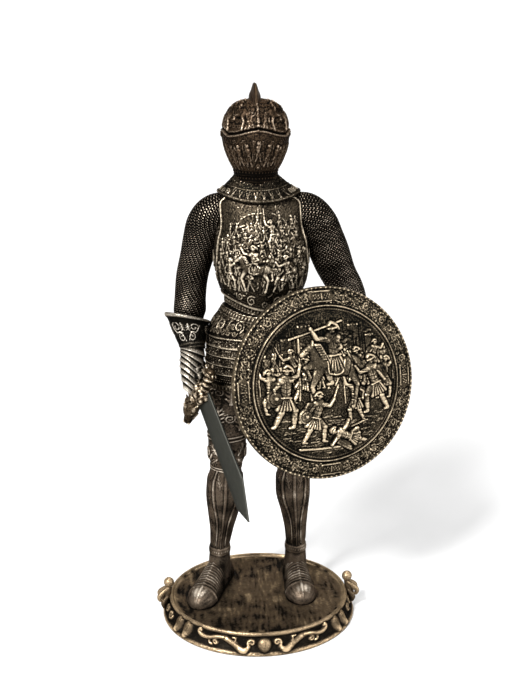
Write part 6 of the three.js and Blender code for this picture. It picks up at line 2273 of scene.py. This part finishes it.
class Finish(Enum):
    """The bronze of each part of the figure: more or less rubbed, and warmer or greyer."""

    HELMET = Bronze("helmet_bronze", (0.0022, 0.0018, 0.0014), (0.035, 0.0225, 0.0135), (0.24, 0.185, 0.135))
    PARADE = Bronze("parade_bronze", (0.002, 0.0018, 0.0014), (0.036, 0.028, 0.0185), (0.44, 0.37, 0.275), 0.5)
    MAIL = Bronze("mail_bronze", (0.0012, 0.001, 0.0008), (0.0125, 0.0095, 0.0065), (0.55, 0.46, 0.36), 0.25, 0.06)
    GAUNTLET = Bronze("gauntlet_bronze", (0.003, 0.0028, 0.0023), (0.055, 0.046, 0.034), (0.5, 0.45, 0.38), 0.3, 0.12)
    HILT = Bronze("hilt_bronze", (0.003, 0.0022, 0.0015), (0.045, 0.031, 0.018), (0.5, 0.41, 0.3), 0.7, 0.4)
    GREAVE = Bronze("greave_bronze", (0.006, 0.005, 0.0038), (0.08, 0.06, 0.043), (0.6, 0.52, 0.42), 0.75, 0.08)
    SHIELD = Bronze("shield_bronze", (0.0017, 0.0018, 0.0015), (0.042, 0.033, 0.0215), (0.41, 0.33, 0.225), 0.6)
    PLINTH = Bronze("plinth_bronze", (0.006, 0.0048, 0.0036), (0.07, 0.05, 0.031), (0.5, 0.365, 0.22), 0.25, 0.08)


# The stage


@dataclass
class Studio:
    """The pale floor that rises all round into a backdrop, three soft lights, and the photograph's camera."""

    reach: float = 2.6
    level: float = 1.2
    sides: int = 72
    lens: float = 51.43
    eye: Place = (-0.0396, -0.5747, 0.3430)
    look: Place = (0.0703, 0.9572, -0.2807)
    waist: Place = (0, 0, 0.16)

    def floor(self) -> None:
        """A dish: level at first, then rising as a quarter of a circle. The paper is paler with its distance: painted
        shade round the figure and a painted brightening of the far backdrop.
        """
        turn, bend = np.linspace(0, np.pi / 2, 16), self.reach - self.level
        reach = np.concatenate([[0.05, 0.6, self.level], self.level + bend * np.sin(turn)[1:]])
        rise = np.concatenate([[0.0, 0.0, 0.0], bend * (1 - np.cos(turn))[1:]])
        a = circle(self.sides)
        x, y = reach[:, None] * np.cos(a), reach[:, None] * np.sin(a)
        points = np.stack([x, y, rise[:, None] + 0 * a], axis=-1).reshape(-1, 3)
        index = np.arange(len(points)).reshape(len(reach), self.sides)
        after = np.roll(index, -1, 1)
        quads = np.stack([index[:-1], index[1:], after[1:], after[:-1]], axis=-1)
        middle = np.stack([np.full(self.sides, len(points)), index[0], after[0]], axis=-1)
        mesh = bpy.data.meshes.new("studio_floor")
        faces = [*quads.reshape(-1, 4).tolist(), *middle.tolist()]
        mesh.from_pydata([*points.tolist(), (0.0, 0.0, 0.0)], [], faces)
        mesh.polygons.foreach_set("use_smooth", np.ones(len(faces), bool))
        paper, tree, shader = new_material("studio_paper")
        away = add_node(tree, "VectorMath", {0: add_node(tree, "TexCoord", {}, "Object")}, "Value", operation="LENGTH")
        shade = {"Value": away, "From Min": 0.5, "From Max": 1.5, "To Min": 0.5, "To Max": 0.86}
        wire(tree, shader, {"Base Color": add_node(tree, "MapRange", shade), "Roughness": 0.9})
        mesh.materials.append(paper)
        linked("studio_floor", mesh)

    def light(self, name: str, at: Place, size: float, power: float) -> None:
        """Adds a soft square light aimed at the figure's waist.

        Args:
            name: Its name.
            at: Its place, in metres.
            size: Its side.
            power: In watts.
        """
        lamp = bpy.data.lights.new(name, "AREA")
        lamp.size, lamp.energy = size, power
        item = linked(name, lamp)
        item.location = at
        item.rotation_euler = (Vector(self.waist) - Vector(at)).to_track_quat("-Z", "Y").to_euler()

    def build(self) -> None:
        """Makes the floor, the lights, the sky and the camera."""
        self.floor()
        self.light("key", (-0.75, -1.0, 1.25), 0.4, 75.0)
        self.light("fill", (1.2, -0.8, 0.8), 0.8, 20.0)
        self.light("top", (0.1, 0.4, 1.6), 0.9, 24.0)
        scene, world = bpy.context.scene, bpy.data.worlds.new("studio_air")
        world.use_nodes = True
        wire(world.node_tree, world.node_tree.nodes["Background"], {"Color": (1, 1, 1, 1), "Strength": 0.25})
        scene.world = world
        scene.view_settings.view_transform = "Standard"
        camera = bpy.data.cameras.new("camera")
        camera.lens, camera.sensor_width = self.lens, 36.0
        camera.clip_start, camera.clip_end = 0.01, 20.0
        scene.camera = linked("camera", camera)
        scene.camera.location = self.eye
        scene.camera.rotation_euler = Vector(self.look).to_track_quat("-Z", "Y").to_euler()


# The figure's own tables

RIGHT_SLEEVE = Sleeve(
    "knight_right_sleeve",
    [
        [-13, 9.5, 249, 7], [-23, 10.5, 244.5, 11], [-29, 12, 237.5, 11.9], [-32.6, 13, 228, 11],
        [-36, 13.5, 216, 9.8], [-38.8, 13, 203, 9.4], [-40.3, 11.5, 193, 9.3], [-40.6, 9.5, 185.5, 9.6],
        [-40.4, 8, 180, 8],
    ],
)
LEFT_SLEEVE = Sleeve(
    "knight_left_sleeve",
    [
        [17, 9.5, 249, 7], [28, 10.5, 244, 11.6], [35.3, 12, 236.5, 12.5], [40.3, 13, 227, 12.1],
        [45.4, 13, 215.5, 11.6], [49.8, 12.4, 205.5, 10.8], [54, 10.5, 196.8, 10.2], [55.2, 5.5, 189.5, 10],
        [52.8, -1, 183.5, 8],
    ],
)
RIGHT_LEG = Leg(
    "knight_right_leg",
    [
        [-15, 8.5, 152, 16.5, 16, 17], [-16.5, 7.5, 135, 15.3, 15, 16], [-18, 6, 118, 13.4, 13.4, 13.4],
        [-19, 5, 104, 11.8, 11.6, 11.4], [-19.2, 5, 95, 11.6, 12.6, 11], [-19.8, 7, 86, 9.6, 10.2, 10],
        [-20.3, 10, 76, 11.1, 10.6, 12], [-20.6, 11, 66, 11.5, 10.6, 12.6], [-21.7, 12.5, 52, 9.5, 9, 11],
        [-23, 14.5, 38, 7.2, 7.4, 8], [-24, 15.5, 28, 6.4, 7, 7.4], [-24.4, 15, 16, 7, 8, 8.6],
        [-24.6, 14.5, 6, 7.4, 8, 9],
    ],
    heel=(-19.4, 29.5),
    toeward=(-0.4, -0.92),
)
LEFT_LEG = Leg(
    "knight_left_leg",
    [
        [20, 8, 152, 16.5, 16, 17], [21, 6.5, 135, 15.3, 15, 16], [21.8, 4, 118, 13.4, 13.4, 13.4],
        [22, 2.5, 104, 11.8, 11.6, 11.4], [22.2, 3, 95, 11.6, 12.6, 11], [22.3, 5.5, 86, 9.6, 10.2, 10],
        [22.6, 9, 76, 10.6, 10.2, 12], [22.9, 11, 66, 10.6, 10.2, 12.4], [24, 13, 52, 8.6, 8.6, 10.8],
        [25, 15, 38, 6.9, 7.2, 8], [25.4, 16, 28, 6.4, 7, 7.4], [25.6, 16.5, 16, 7, 8, 8.6],
        [25.8, 16.5, 6, 7.4, 8, 9],
    ],
    heel=(24.6, 34.5),
    toeward=(0.05, -1.0),
)


def settle(piece: Casting, material: bpy.types.Material, node: str, matrix: Array | None = None) -> int:
    """Writes a piece, gives it its finish, and sets it on the frame in place of a solid.

    Args:
        piece: The finished piece.
        material: Its finish.
        node: The solid it stands for.
        matrix: Where it goes, if it was made in its own place.

    Returns:
        How many triangles it has.
    """
    item = piece.build(matrix)
    item.data.materials.append(material)
    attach(item, "root")
    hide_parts(node)
    LOG.info("%s: %d triangles", piece.name, piece.triangles())
    return piece.triangles()


def main() -> None:
    """Builds the statuette around its frame, then the stage."""
    logging.basicConfig(level=logging.INFO, format="%(name)s: %(message)s", stream=sys.stdout)
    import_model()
    patina = patina_group()
    finishes = {finish: finish.value.material(patina) for finish in Finish}
    sizes, hand = ShieldSizes(), SwordHand()
    knight = [
        (Helmet().build(), Finish.HELMET),
        (Gorget().build(), Finish.PARADE),
        (Cuirass().build(), Finish.PARADE),
        (Faulds().build(), Finish.PARADE),
        (RIGHT_SLEEVE.build(), Finish.MAIL),
        (LEFT_SLEEVE.build(), Finish.MAIL),
        (hand.build(), Finish.GAUNTLET),
        (hand.hilt(), Finish.HILT),
        (ShieldHand().build(sizes), Finish.GAUNTLET),
        (RIGHT_LEG.build(), Finish.GREAVE),
        (LEFT_LEG.build(), Finish.GREAVE),
    ]
    total = sum(settle(piece, finishes[finish], "knight") for piece, finish in knight)
    total += settle(Shield(sizes).build(), finishes[Finish.SHIELD], "shield", sizes.matrix())
    total += settle(Plinth().build(), finishes[Finish.PLINTH], "plinth")
    total += settle(Blade().build(hand), Steel().material(), "sword_blade")
    LOG.info("all pieces: %d triangles", total)
    Studio().build()


if __name__ == "__main__":
    main()
